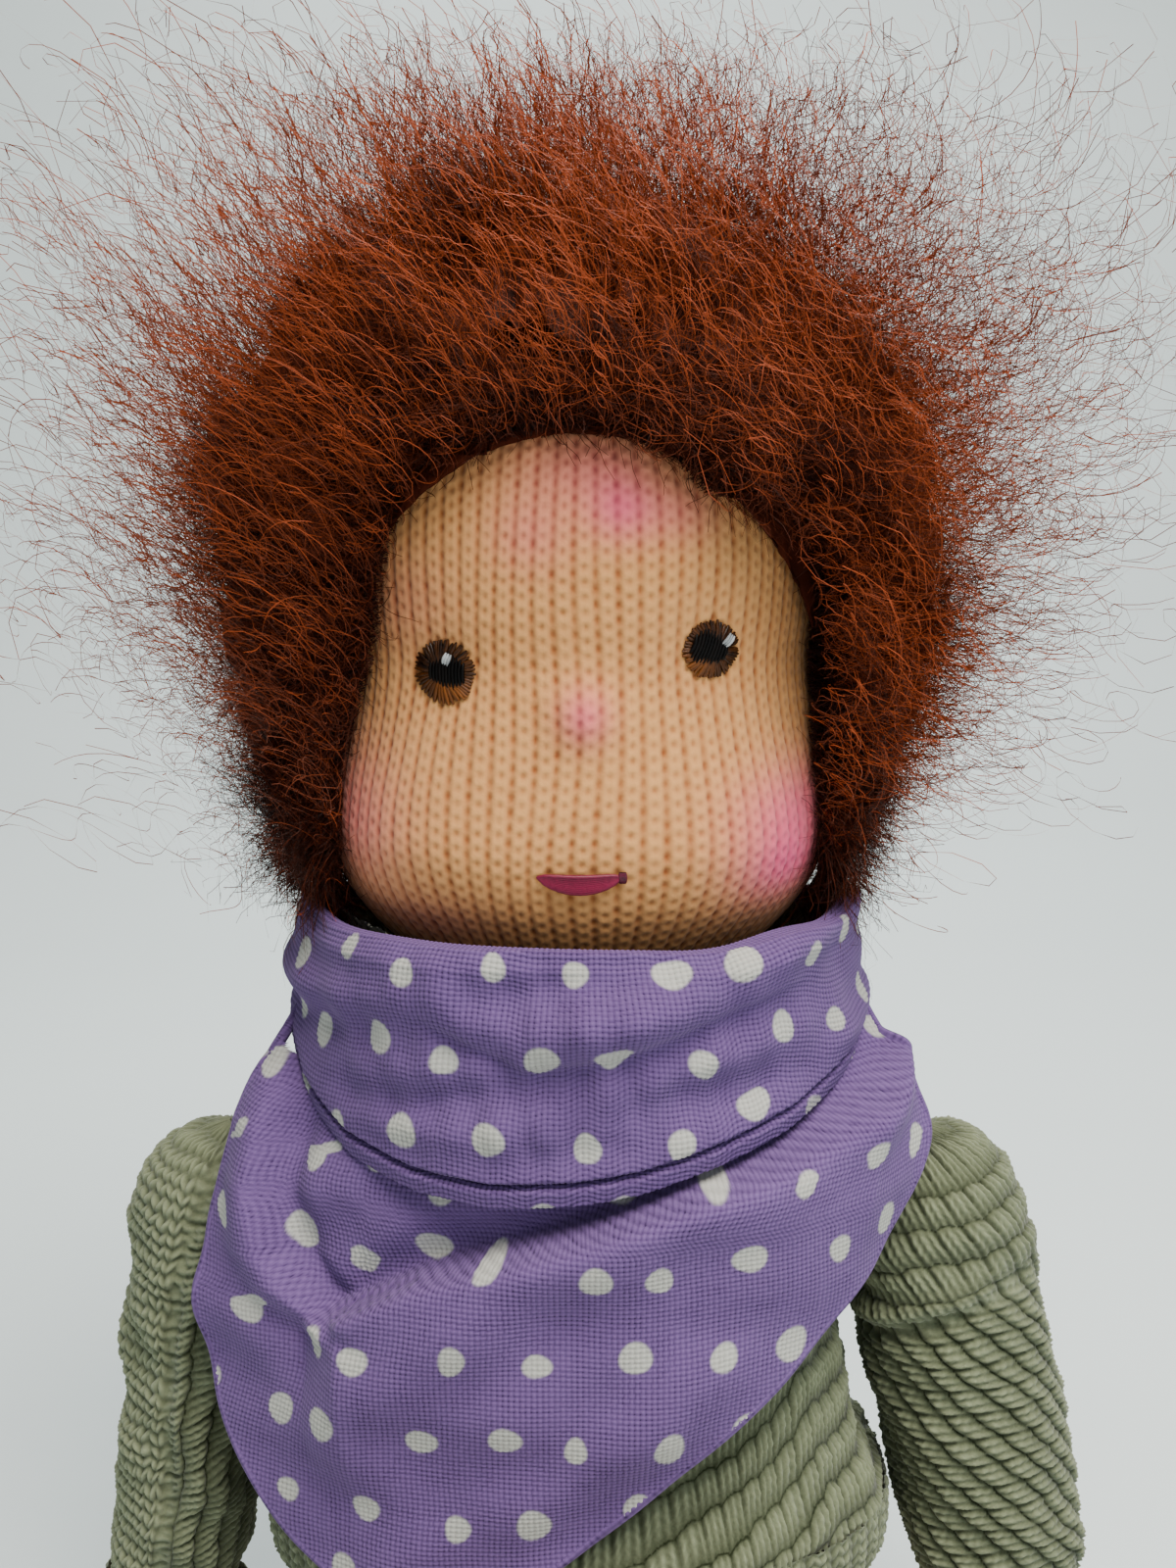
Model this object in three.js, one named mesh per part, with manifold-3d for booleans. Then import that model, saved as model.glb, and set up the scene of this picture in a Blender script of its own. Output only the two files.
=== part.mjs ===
// Soft knitted doll, sitting with its legs out in front, in millimetres, +Z up, facing -Y.
// The body is stuffed jersey. A top, trousers and a neckerchief go over it, and a brushed wig over the head.
// The origin is on the flat of the seat, between the legs.

import * as THREE from 'three';
import { mergeVertices } from 'three/addons/utils/BufferGeometryUtils.js';
import Module from 'manifold-3d';

const wasm = await Module();
wasm.setup();

// Cloth and fits
const clearance = 0.35;        // gap kept between two pieces that touch
const jersey = 0.7;            // skin knit of head, body, arms and legs
const knit = 1.1;              // waffle knit of the top and its trims
const trouserCloth = 1.1;      // woven trouser cloth
const kerchiefCloth = 1.2;     // neckerchief, with its turned hem
const thread = 0.8;            // doubled sewing thread of the ties

// Body. Each row gives shares of its height, half width and half depth, and how far back its middle lies
const bodyBase = 1.5;          // underside of the stuffed body above the seat's flat
const bodyTop = 69.5;          // where the shoulders end
const bodyHalfWidth = 25.8;
const bodyHalfDepth = 19.5;
const bodyShape = [
  [0, 0.7171, 0.5641, 0.5282], [0.0368, 0.8837, 0.759, 0.3846], [0.1029, 0.9767, 0.8923, 0.2256],
  [0.1838, 1, 0.9744, 0.1128], [0.2721, 0.9922, 1, 0.0513], [0.3603, 0.9767, 0.9897, 0.0308],
  [0.4485, 0.969, 1, 0.0205], [0.5662, 0.876, 0.9692, 0.0103], [0.6838, 0.8062, 0.8974, 0],
  [0.8015, 0.7868, 0.7949, 0], [0.8676, 0.8372, 0.7077, 0], [0.9118, 0.7984, 0.6256, 0],
  [0.9559, 0.6008, 0.5333, 0], [1, 0.3721, 0.441, 0],
];
const neckOpening = 7.4;       // radius of the body's neck hole
const neckTop = 71.8;          // height of that hole's edge

// Neck joint
const neckPivot = 73.2;        // height of the middle of the neck ball
const neckBall = 5.5;          // radius of the stuffed ball under the head

// Head, in shares of its height, half width and half depth
const headLow = 75.2;          // edge of the skin round the neck tie
const headHigh = 131.9;        // crown of the bare head
const headHalfWidth = 21.7;
const headHalfDepth = 20.8;
const headShape = [
  [0, 0.341, 0.3558], [0.0317, 0.5253, 0.5288], [0.0758, 0.6912, 0.6923], [0.1287, 0.8341, 0.8269],
  [0.1905, 0.9447, 0.9375], [0.261, 1, 1], [0.3316, 0.9908, 0.9856], [0.4021, 0.9585, 0.9519],
  [0.4638, 0.9309, 0.9183], [0.5256, 0.9171, 0.899], [0.5961, 0.9355, 0.9231], [0.6843, 0.9447, 0.9375],
  [0.7725, 0.8986, 0.9087], [0.8607, 0.7834, 0.8077], [0.9312, 0.6129, 0.6394], [0.9771, 0.3963, 0.4135],
  [1, 0.1659, 0.1731],
];
const coreInset = 2.8;         // fleece ball inside the head's skin, leaving room for the ties
const eyeLine = 105.5;         // height of the thread that draws the eye line in
const faceTilt = 5;            // degrees that the sewn face leans to its own right
const eyeSpread = 10.3;        // half the distance between the eyes
const irisRadius = 2.7;
const pupilRadius = 1.3;
const highlightRadius = 0.42;
const stitchHeight = 0.6;      // raised satin stitch of eyes and mouth
const noseHeight = 101.6;
const noseSwell = 1.3;         // how far the nose stands out
const noseSpread = 2.6;
const cheekHeight = 91.5;
const cheekSwell = 0.9;
const cheekSpread = 6.5;
const cheekAngle = 0.62;       // radians from the middle of the face
const faceRadius = 19;         // turns an angle round the face into a distance across it
const mouthHeight = 88.8;
const mouthWidth = 6.0;
const mouthThread = 0.65;      // radius of the mouth's roll of stitches

// Wig, the outside of the brushed hair in shares of its height, half width and half depth
const hairLow = 85.4;
const hairHigh = 144.0;
const hairHalfWidth = 32.3;
const hairHalfDepth = 28.0;
const hairShape = [
  [0, 0.7802, 0.8286], [0.0785, 0.8297, 0.8786], [0.1809, 0.8978, 0.9286], [0.3174, 0.9659, 0.975],
  [0.4539, 1, 1], [0.5734, 0.9969, 1], [0.6758, 0.935, 0.9571], [0.7696, 0.8173, 0.8536],
  [0.8549, 0.6502, 0.6964], [0.9232, 0.4644, 0.5071], [0.9761, 0.2724, 0.3], [1, 0.0929, 0.1071],
];
const hairBack = 4.0;          // the hair's mass lies this far behind the head's middle
const hairLock = 1.2;          // how far locks stand out and in
const capThickness = 0.9;
const faceHalfWidth = 20.6;    // opening of the wig round the face
const hairlineTop = 123.0;
const faceMiddle = 97.5;
const capLow = 86.2;           // lower edge of the crocheted cap
const faceEdge = -2.5;         // the opening's sides end this far in front of the ears
const openingLow = 60;         // the opening runs on down to here, under all the hair

// Neckerchief
const collarRim = 84.0;        // height of the collar's upper edge at the sides
const collarBackDrop = 6.6;    // how much lower that edge is at the nape
const collarRadius = 25.0;     // outside of the collar at its fullest
const collarFrontFoot = 65.8;  // lower edge of the collar in front
const collarSideFoot = 72.6;
const collarRollWall = 2.6;    // thickness of the folded band at its rim
const kerchiefOutline = [      // cut edge of the hanging corner, from the left side round its tip to the right
  [-25.6, -7.9, 71.6], [-28.6, -9.8, 65.6], [-31.6, -11.2, 56.0], [-31.2, -13.0, 44.7], [-27.2, -16.4, 36.6],
  [-21.0, -20.6, 30.9], [-12.7, -23.6, 29.2], [-2.3, -24.2, 32.8], [8.7, -23.4, 41.4],
  [18.0, -20.0, 49.6], [25.3, -14.6, 56.8], [29.2, -10.2, 63.6], [29.0, -9.2, 68.6], [27.0, -7.8, 72.2],
];
const tailLength = 21;
const tailWidth = 8;
const knotRadius = 3.4;

// Top
const hemHeight = 4.0;
const hemFoot = 25.4;          // lower edge of the top
const sweaterEnd = 69.2;       // where the top's neckband is knitted on
const neckbandTop = 80.8;
const neckbandFlare = 20.5;    // outer radius of the neckband's upper edge
const neckbandFoot = 13.4;     // outer radius where it leaves the top
const placketWidth = 5;
const placketLength = 18;
const placketTop = 63.5;
const buttonInset = 2.8;       // first button's middle under the placket's upper edge
const buttonRadius = 2.3;
const buttonHeight = 1.2;
const buttonPitch = 6.4;

// Arms
const shoulder = { x: 31.6, z: 54.0 };
const sleeveBall = 8.7;        // radius of the sleeve's round top
const sleeveLength = 36.0;
const cuffLength = 3.8;
const armLength = 50.5;        // shoulder to mitten tip
const wrist = 37.8;            // shoulder to wrist thread
const wristRadius = 4.3;
const handRadius = 5.6;
const thumbRadius = 2.0;
const rightHang = 12.4;        // degrees that each arm hangs out from straight down
const leftHang = 9.0;
const shoulderStitch = 3.2;    // radius of the ring of stitches that holds the arm

// Legs
const hip = { x: 13.7, y: -14.0 };
const legBall = 11.9;          // radius of the trouser leg's round top
const trouserLegLength = 58;
const ankle = 66;              // hip to ankle thread
const ankleRadius = 6.0;
const legLength = 83;          // hip to sole
const footToe = 18.5;          // toe in front of the leg's middle
const footHeel = 7.2;
const footHalfWidth = 7.2;
const footHalfHeight = 5.8;
const waist = 26.6;            // top of the trouser cloth, where the waistband is sewn on

const hipZ = legBall + 0.1;
const radians = THREE.MathUtils.degToRad;

// Shape helpers

// A section table from rows of shares, and the height at a share of a height range
function sectionsOf(shape, low, high, halfWidth, halfDepth) {
  return shape.map(([t, w, d, back = 0]) => ({
    z: low + (high - low) * t, w: w * halfWidth, d: d * halfDepth, back: back * halfDepth,
  }));
}

function heightsAt(low, high, ...shares) {
  return shares.map((t) => low + (high - low) * t);
}

const bodySections = sectionsOf(bodyShape, bodyBase, bodyTop, bodyHalfWidth, bodyHalfDepth);
const headSections = sectionsOf(headShape, headLow, headHigh, headHalfWidth, headHalfDepth);
const hairSections = sectionsOf(hairShape, hairLow, hairHigh, hairHalfWidth, hairHalfDepth);

// A smooth value between the rows of a section table
function sectionAt(rows, z) {
  const last = rows.length - 1;
  let i = 0;
  while (i < last - 1 && z > rows[i + 1].z) i += 1;
  const [a, b] = [rows[i], rows[i + 1]];
  const t = THREE.MathUtils.clamp((z - a.z) / (b.z - a.z), 0, 1);
  const before = rows[Math.max(i - 1, 0)];
  const after = rows[Math.min(i + 2, last)];
  const out = { z };
  for (const key of Object.keys(a)) {
    if (key === 'z') continue;
    const slopeA = (b[key] - before[key]) / (b.z - before.z);
    const slopeB = (after[key] - a[key]) / (after.z - a.z);
    const run = b.z - a.z;
    const t2 = t * t;
    const t3 = t2 * t;
    out[key] = (2 * t3 - 3 * t2 + 1) * a[key] + (t3 - 2 * t2 + t) * run * slopeA
      + (3 * t2 - 2 * t3) * b[key] + (t3 - t2) * run * slopeB;
  }
  return out;
}

// One closed ring of points round a vertical axis, squarer than an ellipse when power is over 2
function ovalRing(section, count, grow = 0, power = 2.2, swell = () => 0) {
  const ring = [];
  for (let i = 0; i < count; i += 1) {
    const angle = (i / count) * Math.PI * 2;
    const c = Math.cos(angle);
    const s = Math.sin(angle);
    const flat = (Math.abs(c) ** power + Math.abs(s) ** power) ** (-1 / power);
    const extra = grow + swell(angle, section.z);
    ring.push(new THREE.Vector3(
      (section.w + extra) * c * flat,
      (section.d + extra) * s * flat + (section.back ?? 0),
      section.z,
    ));
  }
  return ring;
}

// A closed body stitched from rings: looped end to end, or capped at both ends
function stitchRings(rings, looped = false) {
  const count = rings[0].length;
  const position = [];
  for (const ring of rings) for (const p of ring) position.push(p.x, p.y, p.z);
  const index = [];
  const quads = looped ? rings.length : rings.length - 1;
  for (let r = 0; r < quads; r += 1) {
    const low = r * count;
    const high = ((r + 1) % rings.length) * count;
    for (let i = 0; i < count; i += 1) {
      const j = (i + 1) % count;
      index.push(low + i, low + j, high + j, low + i, high + j, high + i);
    }
  }
  if (!looped) {
    for (const [ring, flip] of [[0, true], [rings.length - 1, false]]) {
      const centre = new THREE.Vector3();
      for (const p of rings[ring]) centre.addScaledVector(p, 1 / count);
      const tip = position.length / 3;
      position.push(centre.x, centre.y, centre.z);
      for (let i = 0; i < count; i += 1) {
        const a = ring * count + i;
        const b = ring * count + (i + 1) % count;
        index.push(tip, flip ? b : a, flip ? a : b);
      }
    }
  }
  return facingOut(position, index);
}

// A cup: its outside from the open end to the closed one, and its inside back to the open end
function cup(outside, inside) {
  return stitchRings([...outside.reverse(), ...inside.reverse()]);
}

// A BufferGeometry whose faces point out
function facingOut(position, index) {
  let volume = 0;
  const p = (i) => new THREE.Vector3(position[3 * i], position[3 * i + 1], position[3 * i + 2]);
  for (let i = 0; i < index.length; i += 3) {
    volume += p(index[i]).dot(p(index[i + 1]).cross(p(index[i + 2])));
  }
  if (volume < 0) index.reverse();
  const geometry = new THREE.BufferGeometry();
  geometry.setAttribute('position', new THREE.Float32BufferAttribute(position, 3));
  geometry.setIndex(index);
  return geometry;
}

// Heights from low to high in equal steps
function steps(low, high, count) {
  return Array.from({ length: count + 1 }, (_, i) => low + ((high - low) * i) / count);
}

// Rings of a section table between two heights
function rows(table, heights, count, grow = 0, power = 2.2, swell = undefined) {
  return heights.map((z) => ovalRing(sectionAt(table, z), count, grow, power, swell));
}

// A sleeve of cloth open at both ends
function openShell(table, low, high, outer, wall, count, levels, power = 2.2) {
  const up = rows(table, steps(low, high, levels), count, outer, power);
  const down = rows(table, steps(high, low, Math.ceil(levels / 2)), count, outer - wall, power);
  return stitchRings([...up, ...down], true);
}

function toSolid(geometry) {
  const plain = geometry.clone();
  plain.deleteAttribute('normal');
  plain.deleteAttribute('uv');
  const merged = mergeVertices(plain, 1e-4);
  return new wasm.Manifold(new wasm.Mesh({
    numProp: 3,
    vertProperties: new Float32Array(merged.attributes.position.array),
    triVerts: new Uint32Array(merged.index.array),
  }));
}

function fromSolid(solid) {
  const mesh = solid.getMesh();
  const geometry = new THREE.BufferGeometry();
  geometry.setAttribute('position', new THREE.BufferAttribute(new Float32Array(mesh.vertProperties), 3));
  geometry.setIndex(Array.from(mesh.triVerts));
  return geometry;
}

function cut(geometry, ...tools) {
  let solid = toSolid(geometry);
  for (const tool of tools) solid = solid.subtract(toSolid(tool));
  return fromSolid(solid);
}

// A ball to cut room with: its flats, not its corners, lie at the radius
function ball(radius, x, y, z) {
  const [across, up] = [12, 8];
  const outside = radius / Math.cos(Math.PI / across) / Math.cos(Math.PI / up / 2);
  return new THREE.SphereGeometry(outside, across, up).rotateX(Math.PI / 2).translate(x, y, z);
}

function block(low, high) {
  const size = high.map((value, i) => value - low[i]);
  const middle = high.map((value, i) => (value + low[i]) / 2);
  return new THREE.BoxGeometry(...size).translate(...middle);
}

// A round thread along a curve, with flat ends
function threadAlong(points, radius, sides = 6, pieces = 20) {
  const path = new THREE.CatmullRomCurve3(points.map((p) => new THREE.Vector3(...p)));
  const shape = new THREE.Shape();
  shape.absarc(0, 0, radius, 0, Math.PI * 2, true);
  return new THREE.ExtrudeGeometry(shape, {
    steps: pieces, curveSegments: Math.ceil(sides / 2), extrudePath: path,
  });
}

// A round thread tied in a flat ring, drawn to an oval
function threadRing(width, depth, radius, segments = 14) {
  const rings = [];
  for (let i = 0; i < segments; i += 1) {
    const angle = (i / segments) * Math.PI * 2;
    const ring = [];
    for (let j = 0; j < 4; j += 1) {
      const turn = (j / 4) * Math.PI * 2;
      const out = radius * Math.cos(turn);
      ring.push(new THREE.Vector3(
        (width + out) * Math.cos(angle), (depth + out) * Math.sin(angle), radius * Math.sin(turn),
      ));
    }
    rings.push(ring);
  }
  return stitchRings(rings, true);
}

const doll = new THREE.Group();

function finish(colour, roughness) {
  return new THREE.MeshStandardMaterial({ color: colour, roughness, metalness: 0 });
}

const finishes = {
  skin: () => finish('#d9b08c', 0.95),
  fleece: () => finish('#ece4d6', 1),
  thread: () => finish('#e6d8c4', 0.8),
  iris: () => finish('#5a3214', 0.6),
  pupil: () => finish('#120c0a', 0.6),
  highlight: () => finish('#f2f0ea', 0.6),
  mouth: () => finish('#a0104a', 0.6),
  hair: () => finish('#7a3518', 0.9),
  top: () => finish('#8e9a74', 0.95),
  kerchief: () => finish('#8c74b4', 0.9),
  trousers: () => finish('#8a7f72', 0.95),
  button: () => finish('#d8cdb4', 0.4),
};

function add(parent, name, geometry, material) {
  const mesh = new THREE.Mesh(geometry, material());
  mesh.name = name;
  parent.add(mesh);
  return mesh;
}

// Body: stuffing in a jersey skin, hollowed for the legs and the neck ball

const bodyCount = 18;
const bodyPower = 2.4;
// Room that the thighs need, sitting and standing, with walls of cloth added to it
function legTools(wall = 0) {
  const reach = legBall + clearance + wall;
  const tools = [block([-60, -60, -20], [60, hip.y + reach, hipZ + wall])];
  for (const side of [1, -1]) {
    tools.push(ball(reach, side * hip.x, hip.y, hipZ));
    tools.push(new THREE.CylinderGeometry(reach * 1.04, reach * 1.04, 40, 12)
      .translate(side * hip.x, hip.y - 20, hipZ));
  }
  return tools;
}

// A cloth shell that also lines the cuts: the outside less its tools, less the inside shrunk from them
function lined(outside, outsideTools, inside, insideTools) {
  return fromSolid(toSolid(cut(outside, ...outsideTools)).subtract(toSolid(cut(inside, ...insideTools))));
}

const bodyHeights = heightsAt(bodyBase, bodyTop, 0, 0.0515, 0.1397, 0.2574, 0.4044, 0.5515, 0.6985, 0.8162,
  0.875, 0.9191, 0.9559, 1);
const skinEnds = [{ z: neckTop, w: neckOpening, d: neckOpening, back: 0 }];
const skinTable = [...bodySections, ...skinEnds];

function innerBase(z, lift) {
  return Math.max(z, bodyBase + lift);
}

const stuffingInset = jersey + clearance;
const stuffing = stitchRings(rows(
  skinTable, bodyHeights.map((z) => innerBase(z, stuffingInset)), bodyCount, -stuffingInset, bodyPower,
));
const thighRoom = legTools(trouserCloth + clearance + stuffingInset);
const neckRoom = ball(neckBall + clearance, 0, 0, neckPivot);
add(doll, 'torso_stuffing', cut(stuffing, ...thighRoom, neckRoom), finishes.fleece);

const skinOutside = stitchRings(rows(skinTable, [...bodyHeights, neckTop], bodyCount, 0, bodyPower));
const skinHeights = [...bodyHeights.map((z) => innerBase(z, jersey)), neckTop];
const skinInside = rows(skinTable, skinHeights, bodyCount, -jersey, bodyPower);
const neckMouth = skinInside[skinInside.length - 1].map((p) => new THREE.Vector3(p.x, p.y, neckTop + 1));
const skinHollow = stitchRings([...skinInside, neckMouth]);
const skinTools = legTools(trouserCloth + clearance);
const hollowTools = legTools(trouserCloth + clearance + jersey);
add(doll, 'torso_skin', lined(skinOutside, skinTools, skinHollow, hollowTools), finishes.skin);

// Trousers: a seat with two leg holes, and an elastic waistband

const trouserOut = clearance + trouserCloth;
const seatTable = bodySections.map((row) => ({ ...row, z: row.z <= bodyBase ? 0 : row.z }));
const seatHeights = [...bodyHeights.slice(1, 4), waist];
const seatOutside = stitchRings(rows(seatTable, [0, ...seatHeights], bodyCount, trouserOut, bodyPower));
const seatInside = rows(seatTable, [trouserCloth, ...seatHeights], bodyCount, clearance, bodyPower);
const waistMouth = seatInside[seatInside.length - 1].map((p) => new THREE.Vector3(p.x, p.y, waist + 1));
add(doll, 'trouser_seat', lined(seatOutside, legTools(), stitchRings([...seatInside, waistMouth]),
  legTools(trouserCloth)), finishes.trousers);

const waistTop = hemFoot + hemHeight;
add(doll, 'waistband', openShell(skinTable, waist + clearance, waistTop, trouserOut, trouserCloth, bodyCount, 1,
  bodyPower), finishes.trousers);

// Top: knitted body with a hem rib, a flared neckband, and a buttoned back placket

const hemOut = trouserOut + clearance + knit;
const topOut = clearance + knit;
const hem = openShell(skinTable, hemFoot, waistTop, hemOut, knit, bodyCount, 1, bodyPower);
add(doll, 'hem_band', hem, finishes.top);

const armholeRadius = shoulderStitch + thread + clearance;
const armRoom = [1, -1].map((side) => ball(sleeveBall + clearance, side * shoulder.x, 0, shoulder.z));
const armholes = [1, -1].map((side) => new THREE.CylinderGeometry(armholeRadius, armholeRadius, 16, 20)
  .rotateZ(Math.PI / 2).translate(side * shoulder.x, 0, shoulder.z));
const topFoot = waistTop + clearance;
const topHeights = [
  topFoot, ...heightsAt(bodyBase, bodyTop, 0.4779), bodyHeights[5], ...heightsAt(bodyBase, bodyTop, 0.625),
  bodyHeights[6], ...heightsAt(bodyBase, bodyTop, 0.7574), ...bodyHeights.slice(7, 11), sweaterEnd,
];
const topUp = topHeights.map((z) => {
  const easing = THREE.MathUtils.smoothstep(z, topFoot, topFoot + 6);
  return ovalRing(sectionAt(skinTable, z), bodyCount, THREE.MathUtils.lerp(hemOut, topOut, easing), bodyPower);
});
const topDown = topHeights.filter((z) => z === topFoot || z === sweaterEnd || bodyHeights.includes(z)).reverse()
  .map((z) => ovalRing(sectionAt(skinTable, z), bodyCount, clearance, bodyPower));
const sweater = stitchRings([...topUp, ...topDown], true);
add(doll, 'sweater_body', cut(sweater, ...armRoom, ...armholes), finishes.top);

const bandTable = [
  { z: sweaterEnd + clearance, w: neckbandFoot, d: neckbandFoot - 0.6 },
  {
    z: (sweaterEnd + neckbandTop) / 2,
    w: (neckbandFoot + neckbandFlare) / 2 + 0.5,
    d: (neckbandFoot + neckbandFlare) / 2,
  },
  { z: neckbandTop, w: neckbandFlare, d: neckbandFlare - 0.4 },
];
add(doll, 'neckband', openShell(bandTable, sweaterEnd + clearance, neckbandTop, 0, knit - 0.2, bodyCount, 3, 2),
  finishes.top);

const placketFoot = placketTop - placketLength;
function backSurface(z) {
  const section = sectionAt(skinTable, z);
  return section.d + section.back + topOut;
}
const placketRings = steps(placketFoot, placketTop, 6).map((z) => {
  const y = backSurface(z) + clearance;
  const half = placketWidth / 2;
  const sag = 0.35;
  const under = [[-half, y - sag], [0, y], [half, y - sag]];
  const over = [[half, y - sag + knit], [0, y + knit], [-half, y - sag + knit]];
  return [...under, ...over].map(([px, py]) => new THREE.Vector3(px, py, z));
});
add(doll, 'back_placket', stitchRings(placketRings), finishes.top);

const buttonProfile = [
  [0, 0], [buttonRadius * 0.8, 0], [buttonRadius, buttonHeight * 0.45], [buttonRadius * 0.85, buttonHeight],
  [buttonRadius * 0.55, buttonHeight * 0.7], [0, buttonHeight * 0.7],
].map(([r, h]) => new THREE.Vector2(r, h));
for (let i = 0; i < 3; i += 1) {
  const z = placketTop - buttonInset - i * buttonPitch;
  const button = add(doll, `back_button_${i + 1}`, new THREE.LatheGeometry(buttonProfile, 10), finishes.button);
  button.position.set(0, backSurface(z) + 2 * clearance + knit + 0.15, z);
  const slope = (backSurface(z + 1) - backSurface(z - 1)) / 2;
  button.rotation.x = -Math.atan(slope);
}

// Neck: the thread tied round the neck ball, which lets the head turn and nod

const tieRing = add(doll, 'neck_tie', threadRing(neckBall + clearance + thread * 0.75, neckBall + clearance
  + thread * 0.75, thread * 0.75), finishes.thread);
tieRing.position.z = neckPivot;

// Head: a hard fleece core, two ties round it, and the skin drawn over them

const headCount = 26;
function faceSwell(angle, z) {
  const front = Math.atan2(-Math.cos(angle), -Math.sin(angle));
  const across = -front * faceRadius;
  const bump = (x, height, spread, size) => size
    * Math.exp(-((across - x) ** 2 + (z - height) ** 2) / (spread * spread));
  return bump(0.4, noseHeight, noseSpread, noseSwell)
    + bump(faceRadius * cheekAngle, cheekHeight, cheekSpread, cheekSwell)
    + bump(-faceRadius * cheekAngle, cheekHeight, cheekSpread, cheekSwell);
}

const headHeights = heightsAt(headLow, headHigh, 0, 0.0406, 0.0935, 0.1552, 0.2169, 0.2787, 0.3492, 0.4109,
  0.4409, 0.4691, 0.5009, 0.5432, 0.6314, 0.7284, 0.8166, 0.8959, 0.9577, 1);
const headPower = 2.05;
const headOuter = rows(headSections, headHeights, headCount, 0, headPower, faceSwell);
const headTopInner = headHigh - jersey;
const headInnerHeights = [16, 15, 14, 13, 12, 10, 6, 4, 2, 0].map((level) => headHeights[level]);
const headInner = rows(headSections, [headTopInner, ...headInnerHeights], headCount, -jersey, headPower);
add(doll, 'head_skin', cup(headOuter, headInner), finishes.skin);

const coreOut = -jersey - coreInset;
const coreCount = 16;
const coreHeights = [
  ...heightsAt(headLow, headHigh, 0.0847, 0.1552, 0.2434, 0.3492, 0.455), eyeLine,
  ...heightsAt(headLow, headHigh, 0.6314, 0.7549, 0.8519, 0.9136),
];
const coreRings = rows(headSections, coreHeights, coreCount, coreOut, headPower);
const ballRings = steps(-78, 0, 4).map((degrees) => ovalRing({
  z: neckPivot + neckBall * Math.sin(radians(degrees)),
  w: neckBall * Math.cos(radians(degrees)),
  d: neckBall * Math.cos(radians(degrees)),
}, coreCount, 0, 2));
const stemRing = ovalRing({ z: headLow + 1, w: neckBall, d: neckBall }, coreCount, 0, 2);
add(doll, 'head_core', stitchRings([...ballRings, stemRing, ...coreRings]), finishes.fleece);

const atEyes = sectionAt(headSections, eyeLine);
const eyeTie = add(doll, 'eye_line_tie', threadRing(atEyes.w + coreOut + clearance + thread / 2,
  atEyes.d + coreOut + clearance + thread / 2, thread / 2, 24), finishes.thread);
eyeTie.position.z = eyeLine;

const crownReach = coreOut + clearance + thread + clearance + thread * 0.6;
const crownSide = steps(...heightsAt(headLow, headHigh, 0.217, 0.8166), 7)
  .map((z) => [sectionAt(headSections, z).w + crownReach, 0, z]);
const crownTieTop = headHigh - 3.5;
const crownShoulder = [[14.9, 0, crownTieTop - 3.7], [9.6, 0, crownTieTop - 0.4]];
const crownHalf = [...crownSide, ...crownShoulder];
const crownOther = crownHalf.map(([x, y, z]) => [-x, y, z]).reverse();
const crownPath = [...crownHalf, [0, 0, crownTieTop], ...crownOther];
add(doll, 'crown_tie', threadAlong(crownPath, thread * 0.3, 4, 26), finishes.thread);

// Face: satin stitch eyes and mouth on the skin

// A point on the face, in front of the skin by lift, with the direction that the skin faces
function onFace(x, z, lift) {
  const lean = radians(faceTilt);
  const dz = z - faceMiddle;
  const px = x * Math.cos(lean) - dz * Math.sin(lean) * 0.3;
  const pz = faceMiddle + dz + x * Math.sin(lean);
  const depthAt = (qx, qz) => {
    const s = sectionAt(headSections, qz);
    const angle = Math.atan2(-Math.sqrt(Math.max(1 - (qx / s.w) ** 2, 0)), qx / s.w);
    const grow = faceSwell(angle, qz);
    const share = Math.min(Math.abs(qx) / (s.w + grow), 1);
    return -(s.d + grow) * (1 - share ** headPower) ** (1 / headPower);
  };
  const y = depthAt(px, pz);
  const step = 0.5;
  const alongX = new THREE.Vector3(2 * step, depthAt(px + step, pz) - depthAt(px - step, pz), 0);
  const alongZ = new THREE.Vector3(0, depthAt(px, pz + step) - depthAt(px, pz - step), 2 * step);
  const normal = alongX.cross(alongZ).normalize();
  return { point: new THREE.Vector3(px, y, pz).addScaledVector(normal, lift), normal };
}

function domed(inner, outer, height) {
  const low = Math.max(inner, 0);
  const profile = [[low, 0], [outer, 0], [outer, height * 0.35], [outer * 0.8, height * 0.8], [low, height]];
  if (low > 0) profile.push([low, 0]);
  return new THREE.LatheGeometry(profile.map(([r, h]) => new THREE.Vector2(r, h)), 10);
}

const upAxis = new THREE.Vector3(0, 1, 0);
function seatOnFace(mesh, x, z, lift) {
  const { point, normal } = onFace(x, z, lift);
  mesh.position.copy(point);
  mesh.quaternion.setFromUnitVectors(upAxis, normal);
}
const faceLift = clearance + 0.15;
for (const [side, name] of [[-1, 'left'], [1, 'right']]) {
  const x = side * eyeSpread;
  const iris = add(doll, `${name}_iris`, domed(pupilRadius + clearance, irisRadius, stitchHeight), finishes.iris);
  seatOnFace(iris, x, eyeLine, faceLift);
  const pupil = add(doll, `${name}_pupil`, domed(0, pupilRadius, stitchHeight), finishes.pupil);
  seatOnFace(pupil, x, eyeLine, faceLift);
  const highlight = add(doll, `${name}_highlight`, domed(0, highlightRadius, 0.3), finishes.highlight);
  seatOnFace(highlight, x + 0.75, eyeLine + 0.8, faceLift + stitchHeight + clearance * 0.6);
}

const mouthPoints = steps(-mouthWidth / 2, mouthWidth / 2, 4).map((x) => {
  const smile = 0.5 * (x / (mouthWidth / 2)) ** 2;
  const { point } = onFace(x, mouthHeight + smile, clearance + mouthThread);
  return [point.x, point.y, point.z];
});
add(doll, 'mouth', threadAlong(mouthPoints, mouthThread, 6, 8), finishes.mouth);

// Wig: a crocheted cap on the head and the brushed hair on the cap, open round the face

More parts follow.
